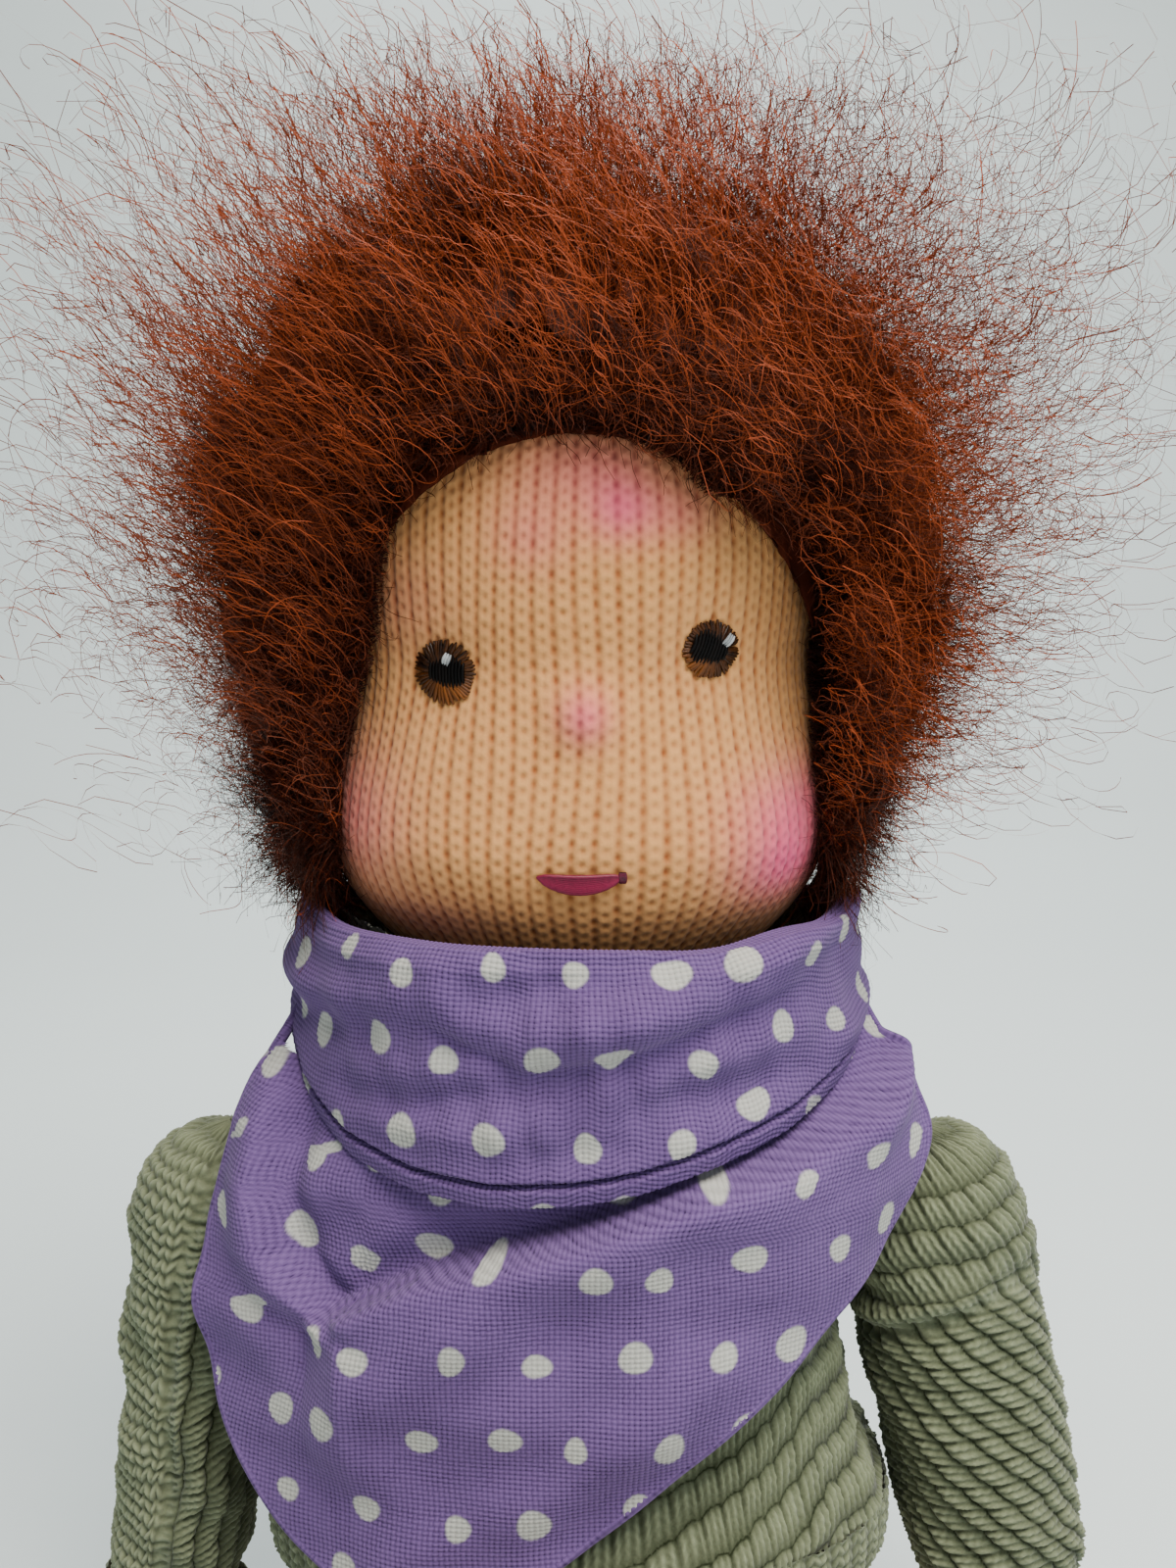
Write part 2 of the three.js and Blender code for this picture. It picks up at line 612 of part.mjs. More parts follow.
const faceOutline = new THREE.Shape();
faceOutline.moveTo(-faceHalfWidth, openingLow);
faceOutline.lineTo(faceHalfWidth, openingLow);
faceOutline.lineTo(faceHalfWidth, faceMiddle);
faceOutline.absellipse(0, faceMiddle, faceHalfWidth, hairlineTop - faceMiddle, 0, Math.PI, false);
faceOutline.lineTo(-faceHalfWidth, openingLow);
function faceOpening(grow, back) {
  return new THREE.ExtrudeGeometry(faceOutline, { depth: 80, bevelEnabled: false, curveSegments: 12 })
    .translate(0, -faceMiddle, 0)
    .scale(1 + grow / faceHalfWidth, 1 + grow / faceHalfWidth, 1)
    .translate(0, faceMiddle, 0)
    .rotateX(Math.PI / 2)
    .translate(0, back, 0);
}

// The cap skips the head's extra rows at the nose
const capHeights = [capLow, ...headHeights.slice(5, 7), ...headHeights.slice(11)];
const capUp = rows(headSections, capHeights, headCount, clearance + capThickness, headPower);
const capDown = rows(headSections, [...capHeights].reverse(), headCount, clearance, headPower);
const capTop = capUp.length - 1;
for (const p of capUp[capTop]) p.z += clearance + capThickness;
for (const p of capDown[0]) p.z += clearance;
add(doll, 'wig_cap', cut(cup(capUp, capDown), faceOpening(0, faceEdge)), finishes.hair);

function hairLocks(angle, z) {
  const wave = Math.sin(angle * 7 + z * 0.16) + 0.7 * Math.sin(angle * 11 - z * 0.23 + 1.3)
    + 0.5 * Math.sin(angle * 4 + z * 0.41 + 0.4);
  return hairLock * wave * 0.7;
}
const hairTable = hairSections.map((row) => ({ ...row, back: hairBack }));
const hairHeights = heightsAt(hairLow, hairHigh, 0, 0.0478, 0.1212, 0.215, 0.3174, 0.4198, 0.5222, 0.616,
  0.7014, 0.7782, 0.8464, 0.9096, 0.9625, 1);
const hairOuter = stitchRings(rows(hairTable, hairHeights, 30, 0, 2.1, hairLocks));
const underHair = clearance * 2 + capThickness;
const scalpRings = rows(headSections, [headLow + 2.8, ...capHeights], headCount, underHair, headPower);
const scalpTip = scalpRings.length - 1;
for (const p of scalpRings[0]) p.z = openingLow + 10;
for (const p of scalpRings[scalpTip]) p.z += underHair;
add(doll, 'hair', cut(hairOuter, stitchRings(scalpRings), faceOpening(0.4, faceEdge)), finishes.hair);

// Neckerchief: a folded band round the neck, its corner hanging in front, and a knot with two tails behind

const collarCount = 32;
const collarRings = [];
for (let i = 0; i < collarCount; i += 1) {
  const angle = (i / collarCount) * Math.PI * 2;
  const c = Math.cos(angle);
  const s = Math.sin(angle);
  const behind = Math.max(s, 0) ** 1.3;
  const inFront = Math.max(-s, 0) ** 1.2;
  const rim = collarRim - collarBackDrop * behind - 0.4 * inFront;
  const foot = collarSideFoot - (collarSideFoot - collarFrontFoot) * inFront;
  const wobble = 0.35 * Math.sin(angle * 5 + 0.7);
  const outside = collarRadius + wobble;
  const bandTop = Math.min(neckbandTop, rim - 1.5);
  const innerAt = (z) => {
    const t = THREE.MathUtils.clamp((z - sweaterEnd) / (neckbandTop - sweaterEnd), 0, 1);
    return THREE.MathUtils.lerp(neckbandFoot, neckbandFlare, t) + Math.sin(t * Math.PI) + clearance + 0.25;
  };
  const [throat, root] = heightsAt(sweaterEnd, neckbandTop, 0.63, 0.32);
  const section = [
    [outside - 1.6, foot], [outside - 0.4, foot + 1.6], [outside, (foot + rim) / 2], [outside - 0.5, rim - 1.8],
    [outside - 1.3, rim - 0.3], [outside - 2.0, rim], [outside - collarRollWall, rim - 0.5],
    [innerAt(neckbandTop) + 0.3, bandTop], [innerAt(throat), Math.min(throat, bandTop - 1.5)],
    [innerAt(root), Math.min(root, bandTop - 3)], [outside - 6.0, foot + 0.4 + 1.2 * (1 - inFront)],
  ];
  collarRings.push(section.map(([r, z]) => new THREE.Vector3(r * c, r * s, z)));
}
add(doll, 'neckerchief_collar', stitchRings(collarRings, true), finishes.kerchief);

// The hanging corner is a grid from the collar's foot down to the cut edge, with its folds pressed out
const drapeColumns = 22;
const drapeRows = 8;
const edge = new THREE.CatmullRomCurve3(kerchiefOutline.map((p) => new THREE.Vector3(...p)));
const drapeAngle = 74;         // degrees that the hanging cloth reaches round each side of the collar
function foldHeight(x, z) {
  const ridge = (ax, az, bx, bz, width, size) => {
    const t = THREE.MathUtils.clamp(((x - ax) * (bx - ax) + (z - az) * (bz - az))
      / ((bx - ax) ** 2 + (bz - az) ** 2), 0, 1);
    const off = Math.hypot(x - ax - t * (bx - ax), z - az - t * (bz - az));
    return size * Math.sin(Math.PI * (0.15 + 0.7 * t)) * Math.exp(-((off / width) ** 2));
  };
  return ridge(27, 70, -14, 53, 3.2, 2.4) + ridge(-24, 66, -22, 49, 2.6, 1.5) + ridge(20, 56, -6, 40, 3.0, 0.9);
}
function drapePoint(u, v, depth) {
  const angle = radians(-90 + drapeAngle * (2 * u - 1));
  const inFront = Math.max(-Math.sin(angle), 0) ** 1.2;
  const foot = collarSideFoot - (collarSideFoot - collarFrontFoot) * inFront;
  const tuck = collarRadius - 1.0 - 1.2 * inFront;
  const start = new THREE.Vector3(tuck * Math.cos(angle), tuck * Math.sin(angle), foot - clearance - 0.5);
  const end = edge.getPoint(u);
  const p = start.clone().lerp(end, v);
  const bulge = Math.sin(v * Math.PI) * 0.9;
  const out = new THREE.Vector3(p.x * 0.55, p.y, 0).normalize();
  const easeIn = Math.sin(Math.PI * Math.min(v * 1.4, 1) * 0.5);
  return p.addScaledVector(out, bulge + foldHeight(p.x, p.z) * easeIn - depth);
}
const drapeFront = [];
const drapeBehind = [];
for (let r = 0; r <= drapeRows; r += 1) {
  for (let c = 0; c <= drapeColumns; c += 1) {
    drapeFront.push(drapePoint(c / drapeColumns, r / drapeRows, 0));
    drapeBehind.push(drapePoint(c / drapeColumns, r / drapeRows, kerchiefCloth));
  }
}
const drapePosition = [...drapeFront, ...drapeBehind].flatMap((p) => [p.x, p.y, p.z]);
const drapeIndex = [];
const across = drapeColumns + 1;
const behindStart = drapeFront.length;
function quad(a, b, c, d) {
  drapeIndex.push(a, b, c, a, c, d);
}
for (let r = 0; r < drapeRows; r += 1) {
  for (let c = 0; c < drapeColumns; c += 1) {
    const a = r * across + c;
    quad(a, a + 1, a + across + 1, a + across);
    quad(behindStart + a, behindStart + a + across, behindStart + a + across + 1, behindStart + a + 1);
  }
  const first = r * across;
  const final = first + drapeColumns;
  quad(first, first + across, behindStart + first + across, behindStart + first);
  quad(final, behindStart + final, behindStart + final + across, final + across);
}
for (let c = 0; c < drapeColumns; c += 1) {
  const low = drapeRows * across + c;
  quad(c, behindStart + c, behindStart + c + 1, c + 1);
  quad(low, low + 1, behindStart + low + 1, behindStart + low);
}
add(doll, 'neckerchief_drape', facingOut(drapePosition, drapeIndex), finishes.kerchief);

const knotY = collarRadius + 0.4 + clearance + knotRadius * 0.75;
const knotZ = 74.6;
const knot = new THREE.SphereGeometry(knotRadius, 14, 9).rotateX(Math.PI / 2).scale(1.35, 0.75, 1);
add(doll, 'neckerchief_knot', knot, finishes.kerchief).position.set(0, knotY, knotZ);
for (const [side, name] of [[-1, 'left'], [1, 'right']]) {
  const rings = [];
  for (const t of steps(0, 1, 7)) {
    const taper = t > 0.7 ? (1.15 - t) / 0.45 : 1;
    const width = 1.6 + (tailWidth / 2 - 1.6) * Math.sin(Math.min(t * 1.6, 1) * Math.PI / 2) * taper;
    const thick = kerchiefCloth * 0.75;
    const x = side * (2.9 + 3.6 * t);
    const y = knotY - 1.2 * t + 0.6 * Math.sin(t * 5);
    const z = knotZ - knotRadius - clearance - tailLength * t;
    const fold = 0.9 * Math.sin(t * 3.1);
    const under = [[-width, fold], [0, -thick], [width, fold]];
    const over = [[width, fold + thick], [0, thick * 0.4], [-width, fold + thick]];
    rings.push([...under, ...over].map(([px, py]) => new THREE.Vector3(x + px, y + py, z)));
  }
  add(doll, `${name}_tail`, stitchRings(rings), finishes.kerchief);
}

// Arms: stuffed jersey with a mitten hand, in a knitted sleeve whose round top turns at the shoulder

function limbTable(list) {
  return list.map(([z, w, d]) => ({ z, w, d }));
}

function roundTop(radius, count = 3) {
  return steps(0, 84, count).slice(1).map((degrees) => {
    const across = radius * Math.cos(radians(degrees));
    return [radius * Math.sin(radians(degrees)), across, across];
  });
}

function ringsOf(list, count, grow = 0, power = 2.1) {
  return list.map(([z, w, d]) => ovalRing({ z, w: w + grow, d: d + grow }, count, 0, power));
}

function makeArm(side, name, hang, slim) {
  const pivot = new THREE.Group();
  pivot.position.set(side * shoulder.x, 0, shoulder.z);
  pivot.rotation.y = -side * radians(hang);
  doll.add(pivot);
  const sleeveEndRadius = wristRadius + 3.0;
  const sleeveOuter = [
    [-sleeveLength, sleeveEndRadius * slim, sleeveEndRadius],
    [-sleeveLength + 3, (sleeveBall - 0.6) * slim, sleeveBall - 0.6],
    [-sleeveLength * 0.6, sleeveBall * slim, sleeveBall],
    [-sleeveLength * 0.3, sleeveBall * (0.4 + 0.6 * slim), sleeveBall],
    [-2, sleeveBall, sleeveBall],
    [0, sleeveBall, sleeveBall],
    ...roundTop(sleeveBall),
  ];
  const inside = sleeveBall - knit;
  const sleeveInner = [
    ...roundTop(inside).reverse(),
    [0, inside, inside],
    [-sleeveLength * 0.3, sleeveBall * (0.4 + 0.6 * slim) - knit, inside],
    [-sleeveLength * 0.6, sleeveBall * slim - knit, inside],
    [-sleeveLength + 3, (sleeveBall - 0.6) * slim - knit, inside - 0.6],
    [-sleeveLength, sleeveEndRadius * slim - knit, sleeveEndRadius - knit],
  ];
  add(pivot, `${name}_sleeve`, cup(ringsOf(sleeveOuter, 16), ringsOf(sleeveInner, 16)), finishes.top);

  const cuffIn = wristRadius + clearance + thread + clearance;
  const cuffHigh = -sleeveLength - clearance;
  const cuffOut = cuffIn + knit;
  const cuffLow = cuffHigh - cuffLength;
  const cuffTable = limbTable([[cuffLow, cuffOut, cuffOut], [cuffHigh, cuffOut + 0.2, cuffOut + 0.2]]);
  add(pivot, `${name}_cuff`, openShell(cuffTable, cuffLow, cuffHigh, 0, knit, 16, 1, 2), finishes.top);

  const armTop = inside - clearance;
  const slimAt = (z) => THREE.MathUtils.lerp(1, Math.min(1, slim * 0.93), THREE.MathUtils.smoothstep(-z, 2, 14)
    - THREE.MathUtils.smoothstep(-z, wrist - 8, wrist));
  const armLine = [
    [-armLength, 1.6, 1.2], [-armLength + 0.8, 3.6, 2.6], [-armLength + 3, handRadius - 0.4, 3.9],
    [-armLength + 6.5, handRadius, 4.4], [-armLength + 10, 4.9, 4.3], [-wrist, wristRadius, wristRadius],
    [-wrist + 4, 5.0, 5.0], [-25, 6.0, 6.2], [-12, 6.9, 7.0], [0, armTop, armTop],
  ].map(([z, w, d]) => [z, w * slimAt(z), d]);
  const armOuter = [...armLine, ...roundTop(armTop, 4)];
  const armInner = [[0, armTop, armTop], ...armLine.slice(2, -1).reverse(), [-armLength + 1.6, 3.4, 2.6]]
    .map(([z, w, d]) => [z, w - jersey, d - jersey]);
  const innerTop = [[armTop + 2, 3.0, 3.0], [armTop * 0.8, armTop * 0.6 - jersey, armTop * 0.6 - jersey]];
  const thumbPath = [[0, -2.2, -wrist - 3.4], [0, -5.4, -wrist - 6.2], [0, -7.0, -wrist - 8.8]];
  const thumb = ringsAlong(thumbPath, [thumbRadius, thumbRadius, thumbRadius * 0.6], 8);
  const armSkin = fromSolid(toSolid(stitchRings(ringsOf(armOuter, 12)))
    .add(toSolid(thumb))
    .subtract(toSolid(stitchRings(ringsOf([...innerTop, ...armInner], 12)))));
  add(pivot, `${name}_arm_skin`, armSkin, finishes.skin);

  const fill = jersey + clearance;
  const stuffingLine = armLine.slice(2).map(([z, w, d]) => [z, w - fill, d - fill]);
  const stuffingTop = [armTop * 0.55, armTop * 0.5, armTop * 0.5];
  add(pivot, `${name}_arm_stuffing`, stitchRings(ringsOf([...stuffingLine, stuffingTop], 12)), finishes.fleece);

  const wristThread = add(pivot, `${name}_wrist_thread`, threadRing(wristRadius + clearance + thread * 0.4,
    wristRadius + clearance + thread * 0.4, thread * 0.4), finishes.thread);
  wristThread.position.z = -wrist;

  const reach = sleeveBall + clearance + thread / 2;
  const stitchX = Math.sqrt(reach * reach - shoulderStitch * shoulderStitch);
  const stitch = add(doll, `${name}_shoulder_stitch`, threadRing(shoulderStitch, shoulderStitch, thread / 2)
    .rotateY(Math.PI / 2), finishes.thread);
  stitch.position.set(side * (shoulder.x - stitchX), 0, shoulder.z);
}

// Rings square to a path that bends in the plane x = 0
function ringsAlong(points, radii, count, flat = 1) {
  const path = points.map((p) => new THREE.Vector3(...p));
  const rings = path.map((p, i) => {
    const ahead = path[Math.min(i + 1, path.length - 1)];
    const before = path[Math.max(i - 1, 0)];
    const along = ahead.clone().sub(before).normalize();
    const side = new THREE.Vector3(1, 0, 0);
    const up = along.clone().cross(side).normalize();
    const ring = [];
    for (let j = 0; j < count; j += 1) {
      const angle = (j / count) * Math.PI * 2;
      ring.push(p.clone().addScaledVector(side, radii[i] * Math.cos(angle))
        .addScaledVector(up, radii[i] * flat * Math.sin(angle)));
    }
    return ring;
  });
  return stitchRings(rings);
}

makeArm(-1, 'left', leftHang, 0.78);
makeArm(1, 'right', rightHang, 1);

// Legs: stuffed jersey with a soft foot, in a trouser leg whose round top turns at the hip

function makeLeg(side, name) {
  const pivot = new THREE.Group();
  pivot.position.set(side * hip.x, hip.y, hipZ);
  pivot.rotation.x = -Math.PI / 2;
  doll.add(pivot);
  const end = trouserLegLength;
  const legOuter = [[-end, 9.2], [-end + 3, 9.8], [-end * 0.6, 10.6], [-end * 0.25, 11.6], [0, legBall]]
    .map(([z, r]) => [z, r, r]);
  const inside = legBall - trouserCloth;
  const legInner = [...legOuter].reverse().map(([z, w, d]) => [z, w - trouserCloth, d - trouserCloth]);
  const clothOutside = ringsOf([...legOuter, ...roundTop(legBall)], 16, 0, 2);
  const clothInside = ringsOf([...roundTop(inside).reverse(), ...legInner], 16, 0, 2);
  add(pivot, `${name}_trouser_leg`, cup(clothOutside, clothInside), finishes.trousers);

  const cuffIn = ankleRadius + 2 * clearance + thread;
  const cuffHigh = -end - clearance;
  const cuffTable = limbTable([[-ankle - 2.2, cuffIn + knit, cuffIn + knit], [cuffHigh, 9.0, 9.0]]);
  add(pivot, `${name}_ankle_cuff`, openShell(cuffTable, -ankle - 2.2, cuffHigh, 0, trouserCloth, 16, 1, 2),
    finishes.trousers);

  const legTop = inside - clearance;
  const legLine = [
    [-legLength + 5, 5.4, 5.4], [-ankle - 5, 5.9, 5.9], [-ankle, ankleRadius, ankleRadius],
    [-end + 2, 7.2, 7.2], [-end * 0.6, 8.8, 8.8], [-end * 0.25, 9.9, 9.9], [0, legTop, legTop],
  ];
  const footLine = (grow, sides) => {
    const heel = footHeel + grow;
    const toe = -footToe - grow;
    const shape = [
      [0, 0.35], [0.06, 0.66], [0.18, 0.9], [0.4, 1], [0.68, 1], [0.86, 0.86], [0.96, 0.58], [1, 0.3],
    ];
    const line = shape.map(([t]) => [0, THREE.MathUtils.lerp(heel, toe, t), -legLength + footHalfHeight]);
    const radii = shape.map(([, size]) => (footHalfWidth + grow) * size);
    return ringsAlong(line, radii, sides, (footHalfHeight + grow) / (footHalfWidth + grow));
  };
  const legSolid = (grow, top, sides) => toSolid(stitchRings(ringsOf([
    ...legLine.map(([z, w, d]) => [z, w + grow, d + grow]), ...top,
  ], sides, 0, 2)));
  const skinBody = legSolid(0, roundTop(legTop), 12).add(toSolid(footLine(0, 12)));
  const hollowShoulder = [legTop * 0.6, legTop * 0.7 - jersey, legTop * 0.7 - jersey];
  const hollow = legSolid(-jersey, [hollowShoulder, [legTop + 2, 4, 4]], 10).add(toSolid(footLine(-jersey, 8)));
  add(pivot, `${name}_leg_skin`, fromSolid(skinBody.subtract(hollow)), finishes.skin);
  const fill = jersey + clearance;
  const stuffed = legSolid(-fill, [[legTop * 0.5, legTop * 0.6, legTop * 0.6]], 10)
    .add(toSolid(footLine(-fill, 8)));
  add(pivot, `${name}_leg_stuffing`, fromSolid(stuffed), finishes.fleece);

  const tie = add(pivot, `${name}_ankle_thread`, threadRing(ankleRadius + clearance + thread * 0.4,
    ankleRadius + clearance + thread * 0.4, thread * 0.4), finishes.thread);
  tie.position.z = -ankle;
}

makeLeg(-1, 'left');
makeLeg(1, 'right');

export default doll;
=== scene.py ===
import bmesh
import bpy
import math
import numpy as np
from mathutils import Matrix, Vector
from mathutils.bvhtree import BVHTree


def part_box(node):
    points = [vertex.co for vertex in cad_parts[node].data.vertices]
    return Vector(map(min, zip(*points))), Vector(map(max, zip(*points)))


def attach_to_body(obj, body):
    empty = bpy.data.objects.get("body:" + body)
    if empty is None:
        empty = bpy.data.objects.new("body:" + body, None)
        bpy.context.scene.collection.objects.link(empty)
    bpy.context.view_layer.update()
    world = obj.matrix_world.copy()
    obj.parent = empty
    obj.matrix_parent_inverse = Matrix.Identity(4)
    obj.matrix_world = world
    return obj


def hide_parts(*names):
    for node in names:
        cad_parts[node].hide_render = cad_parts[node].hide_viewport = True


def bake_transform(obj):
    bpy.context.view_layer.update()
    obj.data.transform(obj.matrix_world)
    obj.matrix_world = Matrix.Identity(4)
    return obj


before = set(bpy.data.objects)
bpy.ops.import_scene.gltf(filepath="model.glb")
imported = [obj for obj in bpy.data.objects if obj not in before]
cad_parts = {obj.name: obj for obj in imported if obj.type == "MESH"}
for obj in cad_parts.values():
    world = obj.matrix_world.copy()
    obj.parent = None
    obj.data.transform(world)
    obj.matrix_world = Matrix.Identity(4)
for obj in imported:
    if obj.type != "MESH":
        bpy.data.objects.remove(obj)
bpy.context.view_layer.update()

# Stage: pale floor and backdrop, soft light and the camera
# One sheet runs under the doll and up behind it.
# Two large lamps and a bright sky light it softly.


def srgb(text):
    """A hex colour as linear red, green, blue and alpha."""
    parts = [int(text[i:i + 2], 16) / 255 for i in (1, 3, 5)]
    return [p / 12.92 if p <= 0.04045 else ((p + 0.055) / 1.055) ** 2.4 for p in parts] + [1.0]


class Wire:
    """One shader output that can be added to, multiplied and fed to other nodes."""

    def __init__(self, tree, socket=None):
        self.tree = tree
        self.socket = socket

    def node(self, kind, *inputs, out=0, **settings):
        """One output of a new node, from its type, its inputs and its settings."""
        made = self.tree.nodes.new("ShaderNode" + kind)
        for key, value in settings.items():
            setattr(made, key, value)
        for socket, value in zip(made.inputs, inputs):
            if isinstance(value, Wire):
                self.tree.links.new(value.socket, socket)
            elif value is not None:
                socket.default_value = value
        return Wire(self.tree, made.outputs[out])

    def __add__(self, other):
        return self.node("Math", self, other, operation="ADD")

    def __sub__(self, other):
        return self.node("Math", self, other, operation="SUBTRACT")

    def __mul__(self, other):
        return self.node("Math", self, other, operation="MULTIPLY")

    def __rsub__(self, other):
        return self.node("Math", other, self, operation="SUBTRACT")

    __radd__ = __add__
    __rmul__ = __mul__

    def between(self, low, high):
        """The mix of two colours by this value."""
        mixed = self.node("Mix", self, None, None, None, None, None, low, high, out=2, data_type="RGBA")
        mixed.socket.node.clamp_factor = True
        return mixed


def plain_material(name, colour, roughness):
    """A plain surface with a faint grain."""
    material = bpy.data.materials.new(name)
    material.use_nodes = True
    shader = material.node_tree.nodes["Principled BSDF"]
    start = Wire(material.node_tree)
    grain = start.node("TexNoise", None, None, 40.0)
    colour_low = [c * 0.97 for c in srgb(colour)[:3]] + [1.0]
    material.node_tree.links.new(grain.between(colour_low, srgb(colour)).socket, shader.inputs["Base Color"])
    shader.inputs["Roughness"].default_value = roughness
    return material


floor_line = [(-0.7, 0.0), (0.30, 0.0), (0.38, 0.02), (0.43, 0.07), (0.45, 0.15), (0.45, 0.9)]
floor_points = [(x, y, z) for y, z in floor_line for x in (-0.9, 0.9)]
floor_mesh = bpy.data.meshes.new("backdrop")
floor_mesh.from_pydata(floor_points, [], [(2 * i, 2 * i + 1, 2 * i + 3, 2 * i + 2) for i in range(5)])
backdrop = bpy.data.objects.new("backdrop", floor_mesh)
bpy.context.scene.collection.objects.link(backdrop)
floor_mesh.materials.append(plain_material("backdrop", "#D3DDDD", 0.9))
floor_mesh.shade_smooth()

world = bpy.data.worlds.new("sky")
bpy.context.scene.world = world
world.use_nodes = True
world.node_tree.nodes["Background"].inputs["Color"].default_value = srgb("#DCE6EA")
world.node_tree.nodes["Background"].inputs["Strength"].default_value = 0.42


def lamp(name, place, size, power, colour):
    """A square lamp that looks at the doll."""
    data = bpy.data.lights.new(name, "AREA")
    data.size = size
    data.energy = power
    data.color = srgb(colour)[:3]
    made = bpy.data.objects.new(name, data)
    made.location = place
    made.rotation_mode = "QUATERNION"
    made.rotation_quaternion = (Vector(place) - Vector((0, 0, 0.09))).to_track_quat("Z", "Y")
    bpy.context.scene.collection.objects.link(made)


lamp("key", (0.09, -0.20, 0.46), 0.26, 4.0, "#FFF8EE")
lamp("fill", (0.30, -0.40, 0.16), 0.40, 0.6, "#EAF2FF")
lamp("back", (0.05, 0.30, 0.42), 0.30, 2.4, "#FFFFFF")

camera_data = bpy.data.cameras.new("camera")
camera_data.sensor_width = 36
camera_data.lens = 36 * 180 / 136
camera = bpy.data.objects.new("camera", camera_data)
bpy.context.scene.collection.objects.link(camera)
bpy.context.scene.camera = camera
tilt = math.radians(10)
look_back = Vector((0, -math.cos(tilt), math.sin(tilt)))
camera.location = Vector((0.00085, 0, 0.0929)) + look_back * 0.180
camera.rotation_mode = "QUATERNION"
camera.rotation_quaternion = look_back.to_track_quat("Z", "Y")
camera_data.clip_start = 0.01

# Head: fine jersey drawn over a hard ball, with a sewn-in nose, cheeks and eye line
# Deep holes stand between the wales and shallow ones within them, and painted shade darkens them.
# Blush is rubbed on the cheeks, the nose and the forehead.
coarse = 1
head_sections = [
    (75.2, 7.4, 7.4), (77.0, 11.4, 11.0), (79.5, 15.0, 14.4), (82.5, 18.1, 17.2), (86.0, 20.5, 19.5),
    (90.0, 21.7, 20.8), (94.0, 21.5, 20.5), (98.0, 20.8, 19.8), (101.5, 20.2, 19.1), (105.0, 19.9, 18.7),
    (109.0, 20.3, 19.2), (114.0, 20.5, 19.5), (119.0, 19.5, 18.9), (124.0, 17.0, 16.8), (128.0, 13.3, 13.3),
    (130.6, 8.6, 8.6), (131.9, 3.6, 3.6),
]


def unit(ways):
    """The same ways, each of length 1."""
    return ways / np.maximum(np.linalg.norm(ways, axis=-1, keepdims=True), 1e-9)


def bell(offset, width):
    """1 where the offset is 0, fading away on both sides."""
    return np.exp(-(offset / width)**2)


def ramp(value, start, run):
    """0 at the start, up to 1 over the run, which is below 0 where the ramp faces the other way."""
    return np.clip((value - start) / run, 0, 1)


def at_heights(table, heights):
    """Smooth sizes between the rows of a section table, one row for each height."""
    table = np.array(table, float)
    z = np.asarray(heights, float).ravel()
    i = np.clip(np.searchsorted(table[:, 0], z) - 1, 0, len(table) - 2)
    low, high = table[i], table[i + 1]
    before = table[np.maximum(i - 1, 0)]
    after = table[np.minimum(i + 2, len(table) - 1)]
    run = high[:, :1] - low[:, :1]
    t = ramp(z[:, None], low[:, :1], run)
    slope_low = (high - before) / (high[:, :1] - before[:, :1])
    slope_high = (after - low) / (after[:, :1] - low[:, :1])
    smooth = ((2 * t**3 - 3 * t**2 + 1) * low + (t**3 - 2 * t**2 + t) * run * slope_low
              + (3 * t**2 - 2 * t**3) * high + (t**3 - t**2) * run * slope_high)
    return smooth[:, 1:]


def round_points(table, heights, turn, grow=0.0, power=2.2):
    """Points round an upright axis, by height and by turn from the front."""
    z, turn = np.broadcast_arrays(np.asarray(heights, float), turn)
    size = at_heights(table, z)
    wide = size[:, 0].reshape(z.shape) + grow
    deep = size[:, 1].reshape(z.shape) + grow
    back = size[:, 2].reshape(z.shape) if size.shape[1] > 2 else 0.0
    c, s = np.sin(turn), -np.cos(turn)
    flat = (np.abs(c)**power + np.abs(s)**power)**(-1 / power)
    return np.stack([wide * c * flat, deep * s * flat + back, z], axis=-1)


def facing(points, wrap):
    """Unit normals of a grid of points, rows going up and columns going round."""
    wide = np.concatenate([points[:, -1:], points, points[:, :1]], axis=1) if wrap else points
    around = np.gradient(wide, axis=1)
    around = around[:, 1:-1] if wrap else around
    return unit(np.cross(around, np.gradient(points, axis=0)))


def waves(seed, grain, *axes):
    """A smooth random field with the given grain in millimetres, about -1 to 1."""
    source = np.random.default_rng(seed)
    total = 0.0
    for _ in range(9):
        way = source.normal(size=len(axes))
        way *= 2 * math.pi / (np.linalg.norm(way) * grain * source.uniform(0.6, 1.7))
        total = total + np.sin(sum(w * a for w, a in zip(way, axes)) + source.uniform(0, 6.28))
    return total / 3


def each_cell(seed, *cells):
    """A random number from 0 to 1 for each whole cell."""
    mixed = sum(c * k for c, k in zip(cells, (12.9898, 78.233))) + seed * 3.7
    return np.mod(np.sin(mixed) * 43758.5453, 1.0)


def build(name, points, faces, material, **layers):
    """A smooth mesh from points in millimetres, with one number for each point in every layer."""
    mesh = bpy.data.meshes.new(name)
    mesh.from_pydata((np.reshape(points, (-1, 3)) * 0.001).tolist(), [], faces)
    for layer, values in layers.items():
        made = mesh.attributes.new(layer, "FLOAT", "POINT")
        made.data.foreach_set("value", np.ascontiguousarray(values, dtype=np.float32).ravel())
    mesh.materials.append(material)
    mesh.shade_smooth()
    made = bpy.data.objects.new(name, mesh)
    bpy.context.scene.collection.objects.link(made)
    return made


def attach(piece, body, node=None):
    """Lets a piece stand for a CAD node, if it does, and ride on a body."""
    if node:
        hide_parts(node)
    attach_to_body(piece, body)


